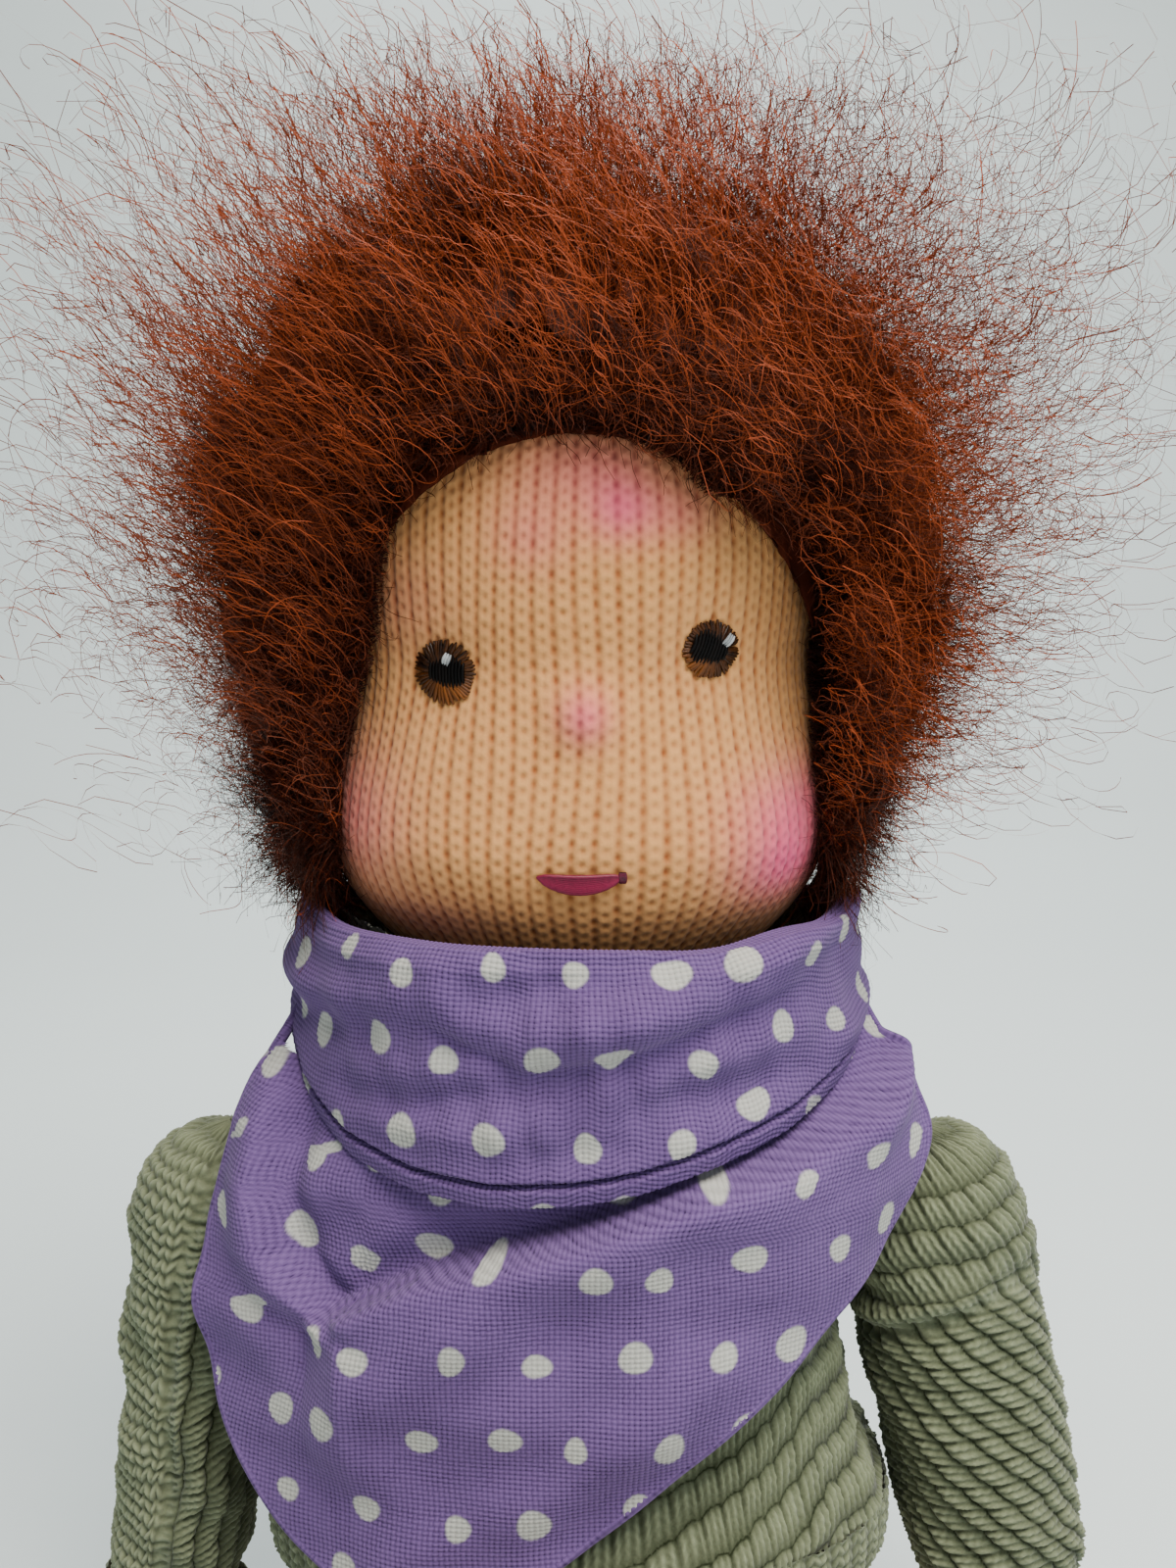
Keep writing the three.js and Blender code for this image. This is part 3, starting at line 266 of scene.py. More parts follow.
def grid_faces(rows, columns, wrap=False, count=1):
    """Four-sided faces of one or more grids whose points are stored row by row."""
    across = np.arange(columns if wrap else columns - 1)
    grid, row, column = np.meshgrid(np.arange(count), np.arange(rows - 1), across, indexing="ij")
    a = (grid * rows + row) * columns + column
    b = (grid * rows + row) * columns + (column + 1) % columns
    return np.stack([a, b, b + columns, a + columns], axis=-1).reshape(-1, 4).tolist()


def fabric(name, hollow, crest, mark=None, roughness=0.95, sheen=0.35, grain=0.25, shine=0.3):
    """Cloth or yarn, coloured from dark to light by its height layer, which on knit and weave paints shade
    into the hollows and light onto the crests, and dyed where the mark layer says.
    """
    material = bpy.data.materials.new(name)
    material.use_nodes = True
    tree = material.node_tree
    shader = tree.nodes["Principled BSDF"]
    start = Wire(tree)
    height = start.node("Attribute", attribute_name="height", out=2)
    where = start.node("TexCoord", out=3)
    patch = start.node("TexNoise", where, None, 260.0)
    fibre = start.node("TexNoise", where, None, 3800.0)
    # A low height gives the hollow colour: painted shade on knit and weave.
    tone = height + (patch - 0.5) * grain + (fibre - 0.5) * grain * 1.4
    colour = tone.between(srgb(hollow), srgb(crest))
    if mark:
        spot = start.node("Attribute", attribute_name="mark", out=2)
        dyed = tone.between([c * 0.5 for c in srgb(mark)[:3]] + [1.0], srgb(mark))
        colour = spot.between(colour, dyed)
    tree.links.new(colour.socket, shader.inputs["Base Color"])
    fuzz = start.node("Bump", 0.35, 0.0001, None, fibre)
    tree.links.new(fuzz.socket, shader.inputs["Normal"])
    shader.inputs["Roughness"].default_value = roughness
    shader.inputs["Specular IOR Level"].default_value = shine
    shader.inputs["Sheen Weight"].default_value = sheen
    shader.inputs["Sheen Roughness"].default_value = 0.5
    return material


def face_swell(turn, z):
    """How far the nose and cheeks stand out, less the dents that the eye stitches pull."""
    x = turn * 19
    bumps = [(0.4, 101.6, 2.6, 1.3), (11.8, 91.5, 6.5, 0.9), (-11.8, 91.5, 6.5, 0.9),
             (-10.6, 104.6, 3.6, -0.5), (10.4, 106.4, 3.6, -0.5), (0.4, 88.9, 3.2, -0.35)]
    return sum(size * np.exp(-((x - cx)**2 + (z - cz)**2) / spread**2) for cx, cz, spread, size in bumps)


def fine_knit(wale, course, seed):
    """Height from 0 to 1 of fine jersey: a line of deep holes between wales, shallow ones within."""
    def holes(wale, course, wide, sharp, seed):
        """How deep the upright lines of holes are: with the groove between them, and the holes alone."""
        column = np.floor(wale + 0.5)
        level = np.floor(course + 0.5)
        uneven = 0.55 + 0.45 * each_cell(seed, column, level)
        aside = np.abs(wale - column) + 0.05 * (each_cell(seed + 1, column, level) - 0.5)
        dip = (0.5 + 0.5 * np.cos(2 * math.pi * (course - level)))**sharp
        near = bell(aside, wide)
        return near * (0.42 + 0.58 * dip * uneven), dip * uneven * near

    groove, _ = holes(wale, course + 0.08 * waves(seed, 5, wale, course), 0.17, 1.1, seed)
    _, within = holes(wale + 0.5, course + 0.5, 0.13, 1.5, seed + 2)
    slant = 0.5 + 0.5 * np.cos(2 * math.pi * (course + 1.0 * np.abs(wale - np.floor(wale + 0.5)) + 0.25))
    return np.clip(1.0 - 0.95 * groove - 0.62 * within - 0.12 * slant, 0, 1)


skin_material = fabric("skin", "#8B4B21", "#D1985D", mark="#E0507C", roughness=0.9, sheen=0.15, grain=0.14,
                       shine=0.2)
face_step = 0.155 * coarse
face_radius, face_end = 21, 1.45
wale_width, course_height = 1.66, 1.16
front_turn = np.arange(-face_end, face_end, face_step / face_radius)
back_turn = np.linspace(face_end, 2 * math.pi - face_end, 90)[:-1]
head_turns = np.concatenate([front_turn, back_turn])
head_turns = np.where(head_turns > math.pi, head_turns - 2 * math.pi, head_turns)
head_heights = np.concatenate([np.arange(75.2, 128, face_step), np.linspace(128, 131.9, 40)])
z_grid, turn_grid = np.meshgrid(head_heights, head_turns, indexing="ij")
head_points = round_points(head_sections, z_grid, turn_grid, face_swell(turn_grid, z_grid), 2.05)
head_normals = facing(head_points, True)
wale = turn_grid * face_radius / wale_width
row_step = np.linalg.norm(np.diff(head_points, axis=0), axis=-1).mean(axis=1)
course = np.broadcast_to(np.insert(np.cumsum(row_step), 0, 0)[:, None] / course_height, wale.shape)
wale = wale + 0.14 * waves(4, 16, turn_grid * face_radius, z_grid)
head_knit = fine_knit(wale, course, 2)
knitted_head = head_points + head_normals * (0.30 * head_knit - 0.27)[..., None]
x_grid = head_points[..., 0]
blush_spots = [(17.6, 93.5, 5.2, 3.6, 0.70), (17.0, 88.5, 4.4, 3.4, 0.85), (-19.0, 92.5, 4.8, 6.0, 0.50),
               (0.6, 101.6, 2.0, 2.2, 0.62), (3.4, 117.2, 2.6, 2.4, 0.62), (1.0, 120.5, 6.0, 3.2, 0.42),
               (-3.5, 115.5, 3.2, 3.0, 0.30), (8.0, 117.0, 3.0, 2.4, 0.30), (-14.0, 110.0, 4.0, 4.0, 0.16),
               (-12.0, 84.0, 5.0, 3.0, 0.20)]
in_front = head_points[..., 1] < 2
blush = sum(much * np.exp(-((x_grid - cx) / wide)**2 - ((z_grid - cz) / tall)**2)
            for cx, cz, wide, tall, much in blush_spots) * in_front
crown = np.array([[0.0, 0.0, 132.1]])
top_row = (len(head_heights) - 1) * len(head_turns)
cap_faces = [(top_row + i, top_row + (i + 1) % len(head_turns), knitted_head.size // 3)
             for i in range(len(head_turns))]
# The knit's height also colours the skin: painted shade in the holes, lighter on the loops.
head = build("head_skin_knit", np.concatenate([knitted_head.reshape(-1, 3), crown]),
             grid_faces(len(head_heights), len(head_turns), True) + cap_faces, skin_material,
             height=np.append(head_knit, 0.5), mark=np.append(blush, 0.0))
attach(head, "head", "head_skin")

# Eyes: satin stitch, an iris of spokes, a pupil of upright threads and a short white highlight
# Each eye lies in a dent of the face, and the whole face leans a little to one side.
# The pupils look towards the middle.
sides = ((-1, "left"), (1, "right"))
face_tree = BVHTree.FromPolygons(head_points[::3, ::3].reshape(-1, 3).tolist(),
                                 grid_faces(*head_points[::3, ::3].shape[:2], True))


def on_face(x, z, lift):
    """A point on the face seen from in front, lifted off the skin, with the skin's direction there."""
    place, normal, _, _ = face_tree.ray_cast(Vector((x, -60, z)), Vector((0, 1, 0)))
    normal = normal if normal.y < 0 else -normal
    return place + normal * lift, normal


def tubes(paths, radii, corners):
    """Points and faces of many thin tubes, from paths (tube, step, 3) and radii (tube, step)."""
    count, length = paths.shape[:2]
    along = unit(np.gradient(paths, axis=1))
    aside = unit(np.cross(along, [0.31, 0.52, 0.79]))
    other = np.cross(along, aside)
    angle = np.arange(corners) * 2 * math.pi / corners
    ring = (aside[:, :, None] * np.cos(angle)[:, None] + other[:, :, None] * np.sin(angle)[:, None])
    points = paths[:, :, None] + ring * radii[:, :, None, None]
    return points.reshape(-1, 3), grid_faces(length, corners, True, count)


def stitches(name, paths, radius, material, tones):
    """Short threads lying side by side, thick in the middle and drawn in at their ends."""
    paths = np.array(paths, float)
    t = np.linspace(0, 1, paths.shape[1])
    radii = np.broadcast_to(radius * (0.45 + 0.55 * np.sin(math.pi * t)**0.5), paths.shape[:2])
    points, faces = tubes(paths, radii, 6)
    tone = np.repeat(np.asarray(tones, float), paths.shape[1] * 6)
    return build(name, points, faces, material, height=tone)


iris_material = fabric("iris", "#0E0502", "#7A4414", roughness=0.4, sheen=0.0, grain=0.25, shine=0.25)
pupil_material = fabric("pupil", "#020101", "#0A0605", roughness=0.45, sheen=0.0, grain=0.2, shine=0.12)
glint_material = fabric("highlight", "#6E7276", "#BFC4C6", roughness=0.35, sheen=0.0, grain=0.2, shine=0.3)
eyes = zip(sides, (-10.3, 10.4), (104.6, 106.4), (2.42, 2.22), (0.0, 0.35))
for (side, label), eye_x, eye_z, wide, lean in eyes:
    source = np.random.default_rng(20 + side)

    def eye_point(across, up, lift):
        """A point on the face, counted from the eye's middle along its leaning axes."""
        shift_x = across * math.cos(lean) + up * math.sin(lean)
        shift_z = up * math.cos(lean) - across * math.sin(lean)
        return on_face(eye_x + shift_x, eye_z + shift_z, lift)[0]

    spokes, tones = [], []
    for i in range(54):
        turn = 2 * math.pi * i / 54 + source.normal(0, 0.03)
        reach = wide * source.uniform(0.95, 1.04)
        lower = math.exp(-((math.sin(turn) + 0.6)**2 + (math.cos(turn) + side * 0.3)**2) / 0.5)
        spokes.append([
            eye_point(r * math.cos(turn), 1.06 * r * math.sin(turn), 0.10 + 0.42 * (1 - (r / reach)**2))
            for r in np.linspace(0.25 * reach, reach, 7)])
        tones.append(min(1.0, 0.12 + 0.95 * lower * source.uniform(0.45, 1.0) + source.uniform(-0.08, 0.16)))
    iris = stitches(f"{label}_iris_spokes", spokes, 0.19, iris_material, tones)
    upright = []
    for i in range(11):
        shift = (i - 5) * 0.26
        tall = 1.5 * math.sqrt(max(1 - (shift / 1.55)**2, 0.04)) * source.uniform(0.93, 1.07)
        upright.append([eye_point(shift - side * 0.4, k * tall + 0.05, 0.62 - 0.2 * k * k)
                        for k in np.linspace(-1, 1, 7)])
    pupil = stitches(f"{label}_pupil_threads", upright, 0.18, pupil_material, source.uniform(0, 1, 11))
    glints = []
    for i in range(3):
        shift = (i - 1) * 0.19
        glint_x, glint_z = 0.62 + side * 0.15 + shift, 1.15 - 0.4 * shift
        glints.append([eye_point(glint_x + 0.16 * k, glint_z + 0.5 * k, 0.76 - 0.12 * k * k)
                       for k in np.linspace(-1, 1, 5)])
    glint = stitches(f"{label}_highlight_threads", glints, 0.14, glint_material, source.uniform(0.3, 1, 3))
    for piece, slot in ((iris, "iris"), (pupil, "pupil"), (glint, "highlight")):
        attach(piece, "head", f"{label}_{slot}")

# Mouth: one short bar of satin stitch, its corners drawn up
# The threads lie one over another and end in the same two holes.
# A darker knot closes the corner on the right.
mouth_material = fabric("mouth", "#36011A", "#8F0A3E", roughness=0.45, sheen=0.0, grain=0.4, shine=0.4)
lips = []
for i in range(9):
    row = (i - 4) * 0.165
    lips.append([on_face(0.2 + 3.3 * k, 88.7 + 0.55 * k * k + row * max(1 - k * k, 0.0)**0.6,
                         0.20 + 0.28 * (1 - k * k))[0] for k in np.linspace(-1, 1, 13)])
for i in range(4):
    lips.append([on_face(3.35 + 0.12 * i, 89.2 + 0.45 * k, 0.22)[0] for k in np.linspace(-1, 1, 13)])
# The middle threads are painted lighter and the outer ones darker: painted light and shade across the bar.
lip_light_and_shade = [0.6, 0.8, 0.9, 1, 0.9, 0.8, 0.7, 0.6, 0.5] + [0.1] * 4
mouth = stitches("mouth_threads", lips, 0.19, mouth_material, lip_light_and_shade)
attach(mouth, "head", "mouth")

# Hair: brushed curly mohair on a crocheted cap, thick all round and frizzy outside
# A lumpy mass fills the wig under the hairs, painted dark as the shade deep in the hair, and darker where it
# lies deeper.
# The face shows through a lopsided opening.
hair_sections = [
    (85.4, 25.2, 23.2, 4), (90.0, 26.8, 24.6, 4), (96.0, 29.0, 26.0, 4), (104.0, 31.2, 27.3, 4),
    (112.0, 32.3, 28.0, 4), (119.0, 32.2, 28.0, 4), (125.0, 30.2, 26.8, 4), (130.5, 26.4, 23.9, 4),
    (135.5, 21.0, 19.5, 4), (139.5, 15.0, 14.2, 4), (142.6, 8.8, 8.4, 4), (144.0, 3.0, 3.0, 4),
]
opening_top = 123.2
opening_left = [(60, -19.8), (96.5, -19.3), (100, -18.2), (104, -16.8), (108.3, -15.7), (112, -15.3),
                (115.7, -14.4), (118.5, -13.0), (120.5, -11.3), (122, -8.3), (122.7, -4.5), (opening_top, 0)]
opening_right = [(60, 20.2), (90, 20.0), (98, 19.2), (109.8, 19.0), (113.5, 18.3), (116.4, 16.0), (118, 13.0),
                 (118.7, 9.6), (120.9, 7.7), (122.7, 3.9), (opening_top, 0)]
hair_material = fabric("hair", "#170401", "#9A4420", roughness=0.62, sheen=0.0, grain=0.12, shine=0.15)


def wig_point(turn, up, depth):
    """A place in the wig: turn from the front, up from 0 to 1, depth from 0 on the cap to 1 outside."""
    cap = round_points(head_sections, 82 + up * 50.4, turn, 1.2, 2.05)
    cap[..., 2] += 1.2 * ramp(up, 0.8, 0.2)
    outside = round_points(hair_sections, 85.4 + up * 58.6, turn, 0.0, 2.1)
    return cap + (outside - cap) * np.asarray(depth)[..., None]


def in_face_opening(points, grow=0.0):
    """Whether points lie in the opening that the hair leaves round the face."""
    x, y, z = points[..., 0], points[..., 1], points[..., 2]
    left = np.interp(z - grow, *zip(*opening_left))
    right = np.interp(z - grow, *zip(*opening_right))
    return (y < -2.5) & (x > left - grow) & (x < right + grow) & (z < opening_top + grow)


source = np.random.default_rng(11)
mass_turn, mass_up = np.meshgrid(np.linspace(-math.pi, math.pi, 241)[:-1], np.linspace(0, 1, 120))
mass_depth = (0.70 + 0.13 * waves(31, 6, mass_turn * 25, mass_up * 60)
              + 0.09 * waves(32, 2.2, mass_turn * 25, mass_up * 60))
mass_points = wig_point(mass_turn, mass_up, np.clip(mass_depth, 0.45, 0.92))
mass_root = wig_point(mass_turn, mass_up, 0 * mass_depth)
mass_open = in_face_opening(mass_points, 1.2) | in_face_opening(mass_root, 0.6)
mass_faces = np.array(grid_faces(*mass_turn.shape, True))
mass_faces = mass_faces[~mass_open.ravel()[mass_faces].any(axis=1)].tolist()
# Painted shade: the mass is dark, and darkest where it lies deepest.
mass = build("hair_mass", mass_points, mass_faces, hair_material,
             height=0.06 + np.clip(mass_depth - 0.62, 0, 0.3) * 0.5)
attach(mass, "head", "hair")

# Hair locks: curly strands swept to the sides from a parting, in locks of many hairs
# They stay near the wig's dome, with a tuft left of the middle and a lower slope on the right.
# Each hair is a flat strip with its wide side looking outward.
wig_middle = (0, 0, 108)


def ribbons(paths, widths):
    """Points and faces of many hairs, each a narrow strip whose flat side looks more or less outward."""
    count, length = paths.shape[:2]
    outward = unit(paths.mean(axis=1, keepdims=True) - wig_middle)
    aside = unit(np.cross(np.gradient(paths, axis=1), outward + 0.3 * source.normal(size=(count, 1, 3))))
    pairs = np.stack([paths - aside * widths[..., None], paths + aside * widths[..., None]], axis=2)
    return pairs.reshape(-1, 3), grid_faces(length, 2, count=count)


def hair_pieces(name, paths, root_width, tip_width, tone):
    """Hairs as pieces of a limited number of faces."""
    widths = np.linspace(root_width, tip_width, paths.shape[1]) * coarse**0.7 * np.ones(paths.shape[:2])
    most_faces = 95000
    share = most_faces // (paths.shape[1] - 1)
    for part, first in enumerate(range(0, len(paths), share)):
        chosen = slice(first, first + share)
        points, faces = ribbons(paths[chosen], widths[chosen])
        piece = build(f"{name}_{part + 1}", points, faces, hair_material,
                      height=np.repeat(tone[chosen].ravel(), 2))
        attach(piece, "head")


def wobble(paths, size, turns):
    """Curls laid on paths: round a slowly changing way, growing from the root."""
    count = len(paths)
    t = np.linspace(0, 1, paths.shape[1])[None, :]
    start = source.uniform(0, 6.28, (count, 1))
    grown = size * np.sin(np.minimum(t * 1.3, 1) * math.pi / 2)
    for axis in range(3):
        curl = np.sin(start + 2.1 * axis + turns * t)
        paths[..., axis] += grown * curl * source.uniform(0.6, 1.3, (count, 1))


lock_count = 1100
lock_turn = source.uniform(-math.pi, math.pi, lock_count)
lock_up = 1 - (1 - source.uniform(0, 1, lock_count))**1.35
lock_root = wig_point(lock_turn, lock_up, np.zeros(lock_count))
lock_tip = wig_point(lock_turn, lock_up, np.ones(lock_count))
lock_out = lock_tip - lock_root
lock_far = np.linalg.norm(lock_out, axis=-1, keepdims=True)
away = np.clip((lock_root[:, :1] + 4.0) / 6.0, -1, 1) * np.array([[1.0, 0, 0]]) + np.array([[0, 0.1, -0.55]])
away = away + 0.75 * source.normal(size=(lock_count, 3))
away -= (away * lock_out).sum(axis=1, keepdims=True) / lock_far**2 * lock_out
lock_sweep = unit(away) * source.uniform(7, 17, (lock_count, 1))
tuft = waves(57, 17, *lock_tip.T)[:, None]
lock_reach = np.clip(0.80 + 0.13 * tuft + source.uniform(-0.12, 0.12, (lock_count, 1)), 0.58, 1.08)
leaning = ramp(np.abs(lock_tip[:, :1]), 3, 15) * ramp(lock_tip[:, 2:], 112, 18)
lock_reach *= 1 + np.where(lock_tip[:, :1] > 0, -0.20, 0.05) * leaning
crest_share = ramp(lock_tip[:, 2:], 122, 12)
lock_reach *= 1 + crest_share * (0.16 * bell(lock_tip[:, :1] + 11, 6)
                                 - 0.20 * bell(lock_tip[:, :1] - 7, 9))
lock_tone = 0.5 + 0.14 * waves(58, 9, *lock_tip.T) + source.normal(0, 0.10, lock_count)
lock_tone = np.clip(lock_tone, 0.12, 0.9)
hair_count = 85000 // coarse**2
lock = source.integers(0, lock_count, hair_count)
hair_root = wig_point(lock_turn[lock] + source.normal(0, 0.075, hair_count),
                      np.clip(lock_up[lock] + source.normal(0, 0.03, hair_count), 0, 1), np.zeros(hair_count))
kept = ~in_face_opening(hair_root)
lock, hair_root = lock[kept], hair_root[kept]
t = np.linspace(0, 1, 9)[None, :, None]
reach = lock_reach[lock] * source.uniform(0.7, 1.08, (len(lock), 1))
lock_path = ((lock_out[lock] * reach)[:, None] * (1 - (1 - t)**1.5) * (1 - 0.12 * t**3)
             + lock_sweep[lock][:, None] * t**1.4)
spread = hair_root - lock_root[lock]
hair_path = lock_root[lock][:, None] + lock_path + spread[:, None] * (1 - 0.45 * t**1.3)
lock_curl, lock_turns = source.uniform(0, 6.28, lock_count), source.uniform(4, 9, lock_count)
for axis in range(3):
    curl = lock_curl[lock][:, None] + 2.1 * axis + lock_turns[lock][:, None] * t[..., 0]
    hair_path[..., axis] += 1.8 * t[..., 0] * np.sin(curl)
wobble(hair_path, source.uniform(0.5, 2.0, (len(lock), 1)), source.uniform(5, 14, (len(lock), 1)))
outer = at_heights(hair_sections, hair_path[..., 2])[:, :2].reshape(hair_path.shape[:2] + (2,))
apart = (np.abs(hair_path[..., :2] / outer)**2.1).sum(axis=-1)**(1 / 2.1)
apart_limit = 0.87 + 0.07 * tuft[lock] - 0.03 * (hair_root[:, :1] > 0)
apart_limit = apart_limit + source.exponential(0.065, (len(lock), 1))
drawn_in = np.where(hair_path[..., 2] < 132, np.minimum(1, apart_limit / np.maximum(apart, 0.01)), 1)
hair_path[..., :2] *= drawn_in[..., None]
dome_middle, dome_size = (0, 0, 112), (32.3, 28, 32)
domed = np.linalg.norm((hair_path - dome_middle) / dome_size, axis=-1)
dome_limit = 0.95 + 0.08 * tuft[lock] + source.exponential(0.06, (len(lock), 1))
aside = hair_path[..., 0]
dome_limit = dome_limit + 0.13 * bell(aside + 11, 7) - 0.06 * ramp(aside, 0, 12)
pressed = np.where(hair_path[..., 2] > 112, np.minimum(1, dome_limit / np.maximum(domed, 0.01)), 1)
hair_path = (hair_path - dome_middle) * pressed[..., None] + dome_middle
hair_path[..., 2] = np.maximum(hair_path[..., 2], 84 + source.uniform(-2, 4, (len(lock), 1)))
stray = source.uniform(0, 1, len(lock)) < 0.02
kept = ~in_face_opening(hair_path, -0.7).any(axis=1) | stray
# Painted shade: each hair darkens towards its root, and hairs near the face opening are darker still.
hair_tone_and_shade = lock_tone[lock][:, None] + source.normal(0, 0.06, (len(lock), 1)) - 0.34 * (1 - t[..., 0])**1.2
hair_tone_and_shade = hair_tone_and_shade - 0.14 * in_face_opening(hair_path, 6.0) - 0.12 * in_face_opening(hair_path, 3.0)
hair_pieces("hair_locks", hair_path[kept], 0.036, 0.018, np.clip(hair_tone_and_shade * 0.50, 0.02, 1)[kept])

# Hair at the face: short curved hairs rooted all along the edge of the wig cap's opening
# They lie over the edge of the face and follow it downward.
# They are painted darker than the rest, as the shade at the face's edge, and darker still at their roots.


def walked(points):
    """Distance walked along lines of points."""
    step = np.linalg.norm(np.diff(points, axis=0), axis=-1)
    return np.insert(np.cumsum(step, axis=0), 0, 0, axis=0)


upper_left = [p for p in opening_left if p[0] > 90][:-1]
upper_right = [p for p in opening_right if p[0] > 90][::-1]
edge_curve = np.array(upper_left + upper_right)[:, ::-1]
edge_curve = np.concatenate([[(-19.7, 84.5)], edge_curve, [(20.2, 84.5)]])
edge_walk = walked(edge_curve)
edge_count = 11000 // coarse
edge_at = source.uniform(0, edge_walk[-1], edge_count)
edge_x, edge_z = (np.interp(edge_at, edge_walk, edge_curve[:, k]) for k in (0, 1))
outward = unit(np.stack([edge_x, (edge_z - 100) * 0.8], axis=-1))
root_x, root_z = (np.stack([edge_x, edge_z]) + outward.T * source.uniform(-0.3, 3.6, edge_count))
root_size = at_heights(head_sections, root_z) + 0.5
share = np.clip(np.abs(root_x) / root_size[:, 0], 0, 0.995)
edge_root = np.stack([share * root_size[:, 0] * np.sign(root_x),
                      -root_size[:, 1] * (1 - share**2.05)**(1 / 2.05), root_z], axis=-1)
edge_way = unit(np.stack([edge_root[:, 0] / 21, edge_root[:, 1] / 19, (root_z - 104) / 24], axis=-1))
down_side = np.sign(edge_x + 3)
down_edge = np.stack([outward[:, 1] * down_side, 0 * edge_x, -outward[:, 0] * down_side], axis=-1)
inward = np.stack([-outward[:, 0], 0 * edge_x, -outward[:, 1]], axis=-1)
t = np.linspace(0, 1, 9)[None, :, None]
edge_path = (edge_root[:, None]
             + edge_way[:, None] * source.uniform(1.5, 7.5, (edge_count, 1, 1)) * (1 - (1 - t)**1.7)
             + down_edge[:, None] * source.normal(3.5, 2.5, (edge_count, 1, 1)) * t**1.3
             + inward[:, None] * source.normal(1.7, 1.5, (edge_count, 1, 1)) * t**1.5)
wobble(edge_path, source.uniform(0.15, 0.8, (edge_count, 1)), source.uniform(3, 10, (edge_count, 1)))
# Painted shade: low tone overall, lowest at the roots.
edge_tone_and_shade = np.clip(source.normal(0.19, 0.08, (edge_count, 1)) - 0.16 * (1 - t[..., 0]), 0.02, 0.6)
hair_pieces("hair_face_edge", edge_path, 0.045, 0.02, edge_tone_and_shade)

# Loose hairs: the halo of fine curled hairs that brushing pulls out of the locks
# Many are short and some are long; they are painted darker at their roots, as shade in the hair, and lighter
# towards their ends, as painted light, and those pointing forward are darker.
# Each is shortened until it fits in the room round the wig.
halo_low, halo_high = (-54, -34, 60), (54, 44, 157)
for name, loose_count, shortest, points in (("hair_loose", 11000 // coarse, 2.5, 24),
                                            ("hair_far", 2600 // coarse, 12.0, 56)):
    loose_turn = source.uniform(-math.pi, math.pi, loose_count)
    loose_up = source.uniform(0, 1, loose_count)**0.85
    loose_root = wig_point(loose_turn, loose_up, np.full(loose_count, 0.7))
    loose_out = unit(wig_point(loose_turn, loose_up, np.ones(loose_count)) - loose_root)
    t = np.linspace(0, 1, points)[None, :, None]
    loose_far = shortest + np.minimum(source.exponential(4.5, (loose_count, 1, 1)), 18)
    loose_far = loose_far * (0.75 + 0.8 * loose_up[:, None, None])
    loose_drift = source.normal(0, 0.50, (loose_count, 1, 3))
    loose_path = loose_root[:, None] + loose_far * (loose_out[:, None] * t + loose_drift * t**1.6)
    loose_turns = np.minimum(loose_far[:, 0] * source.uniform(0.9, 2.4, (loose_count, 1)), points * 0.85)
    wobble(loose_path, source.uniform(0.8, 2.5, (loose_count, 1)) * (0.7 + loose_far[:, 0] / 30), loose_turns)
    reached = loose_path - loose_root[:, None]
    room = np.minimum((halo_high - loose_root) / np.maximum(reached.max(axis=1), 0.01),
                      (halo_low - loose_root) / np.minimum(reached.min(axis=1), -0.01)).min(axis=-1)
    room = np.where(room < 1, room * source.uniform(0.6, 1, loose_count), 1)
    loose_path = loose_root[:, None] + reached * room[:, None, None]
    kept = ~in_face_opening(loose_path, -1.0).any(axis=1)
    # Painted shade at the roots and painted light towards the ends; hairs pointing forward are darker.
    loose_light_and_shade = source.uniform(0.55, 1.0, (loose_count, 1)) * (0.35 + 0.65 * np.minimum(2 * t[..., 0], 1))
    loose_light_and_shade = loose_light_and_shade * (1 - 0.55 * np.clip(-1.5 * loose_out[:, 1:2], 0, 1))
    hair_pieces(name, loose_path[kept], 0.026, 0.036, loose_light_and_shade[kept])

# Wig cap and wool ball: a crocheted cap sewn to the head, and carded wool wound into a firm ball
# The cap carries the hair and is painted dark, as the shade under the hair, and the ball fills the jersey of
# the head.
# Neither shows while the hair and the skin are on.


def soft_copy(node, name, body, material, grain=2.0, lumps=0.15, cuts=1):
    """A softer, lumpy stand-in for a plain CAD solid, kept inside its outline, with painted shade in its
    dents.
    """
    work = bmesh.new()
    work.from_mesh(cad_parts[node].data)
    bmesh.ops.remove_doubles(work, verts=work.verts, dist=1e-6)
    bmesh.ops.subdivide_edges(work, edges=work.edges, cuts=cuts, use_grid_fill=True)
    bmesh.ops.recalc_face_normals(work, faces=work.faces)
    points = np.array([v.co for v in work.verts]) * 1000
    normals = np.array([v.normal for v in work.verts])
    lump = 0.5 + 0.5 * waves(len(node), grain, *points.T)
    points = points - normals * (lumps * np.clip(lump, 0, 1))[:, None]
    work.verts.index_update()
    faces = [[v.index for v in f.verts] for f in work.faces]
    work.free()
    # Each dent is painted darker by its depth: painted shade.
    piece = build(name, points, faces, material, height=np.clip(1 - 0.3 * lump, 0, 1))
    attach(piece, body, node)
    return piece


# The cap's dark colours are painted shade under the hair.
cap_material = fabric("wig_cap", "#1E0803", "#4A1C0D", roughness=0.9, sheen=0.0, grain=0.2, shine=0.1)
soft_copy("wig_cap", "wig_cap_crochet", "head", cap_material, 1.6, 0.3, 2)
fleece_material = fabric("fleece", "#B9AE9C", "#F3EDE2", roughness=1.0, sheen=0.6, grain=0.4)
core = soft_copy("head_core", "head_core_fleece", "head", fleece_material, 3.0, 0.3, 2)

# Inner ties: doubled sewing thread round the neck, the eye line and over the crown
# Each is two plies twisted together.
# They lie between the fleece and the jersey.
thread_material = fabric("thread", "#9E8E78", "#EFE3CF", roughness=0.7, sheen=0.3, grain=0.3)


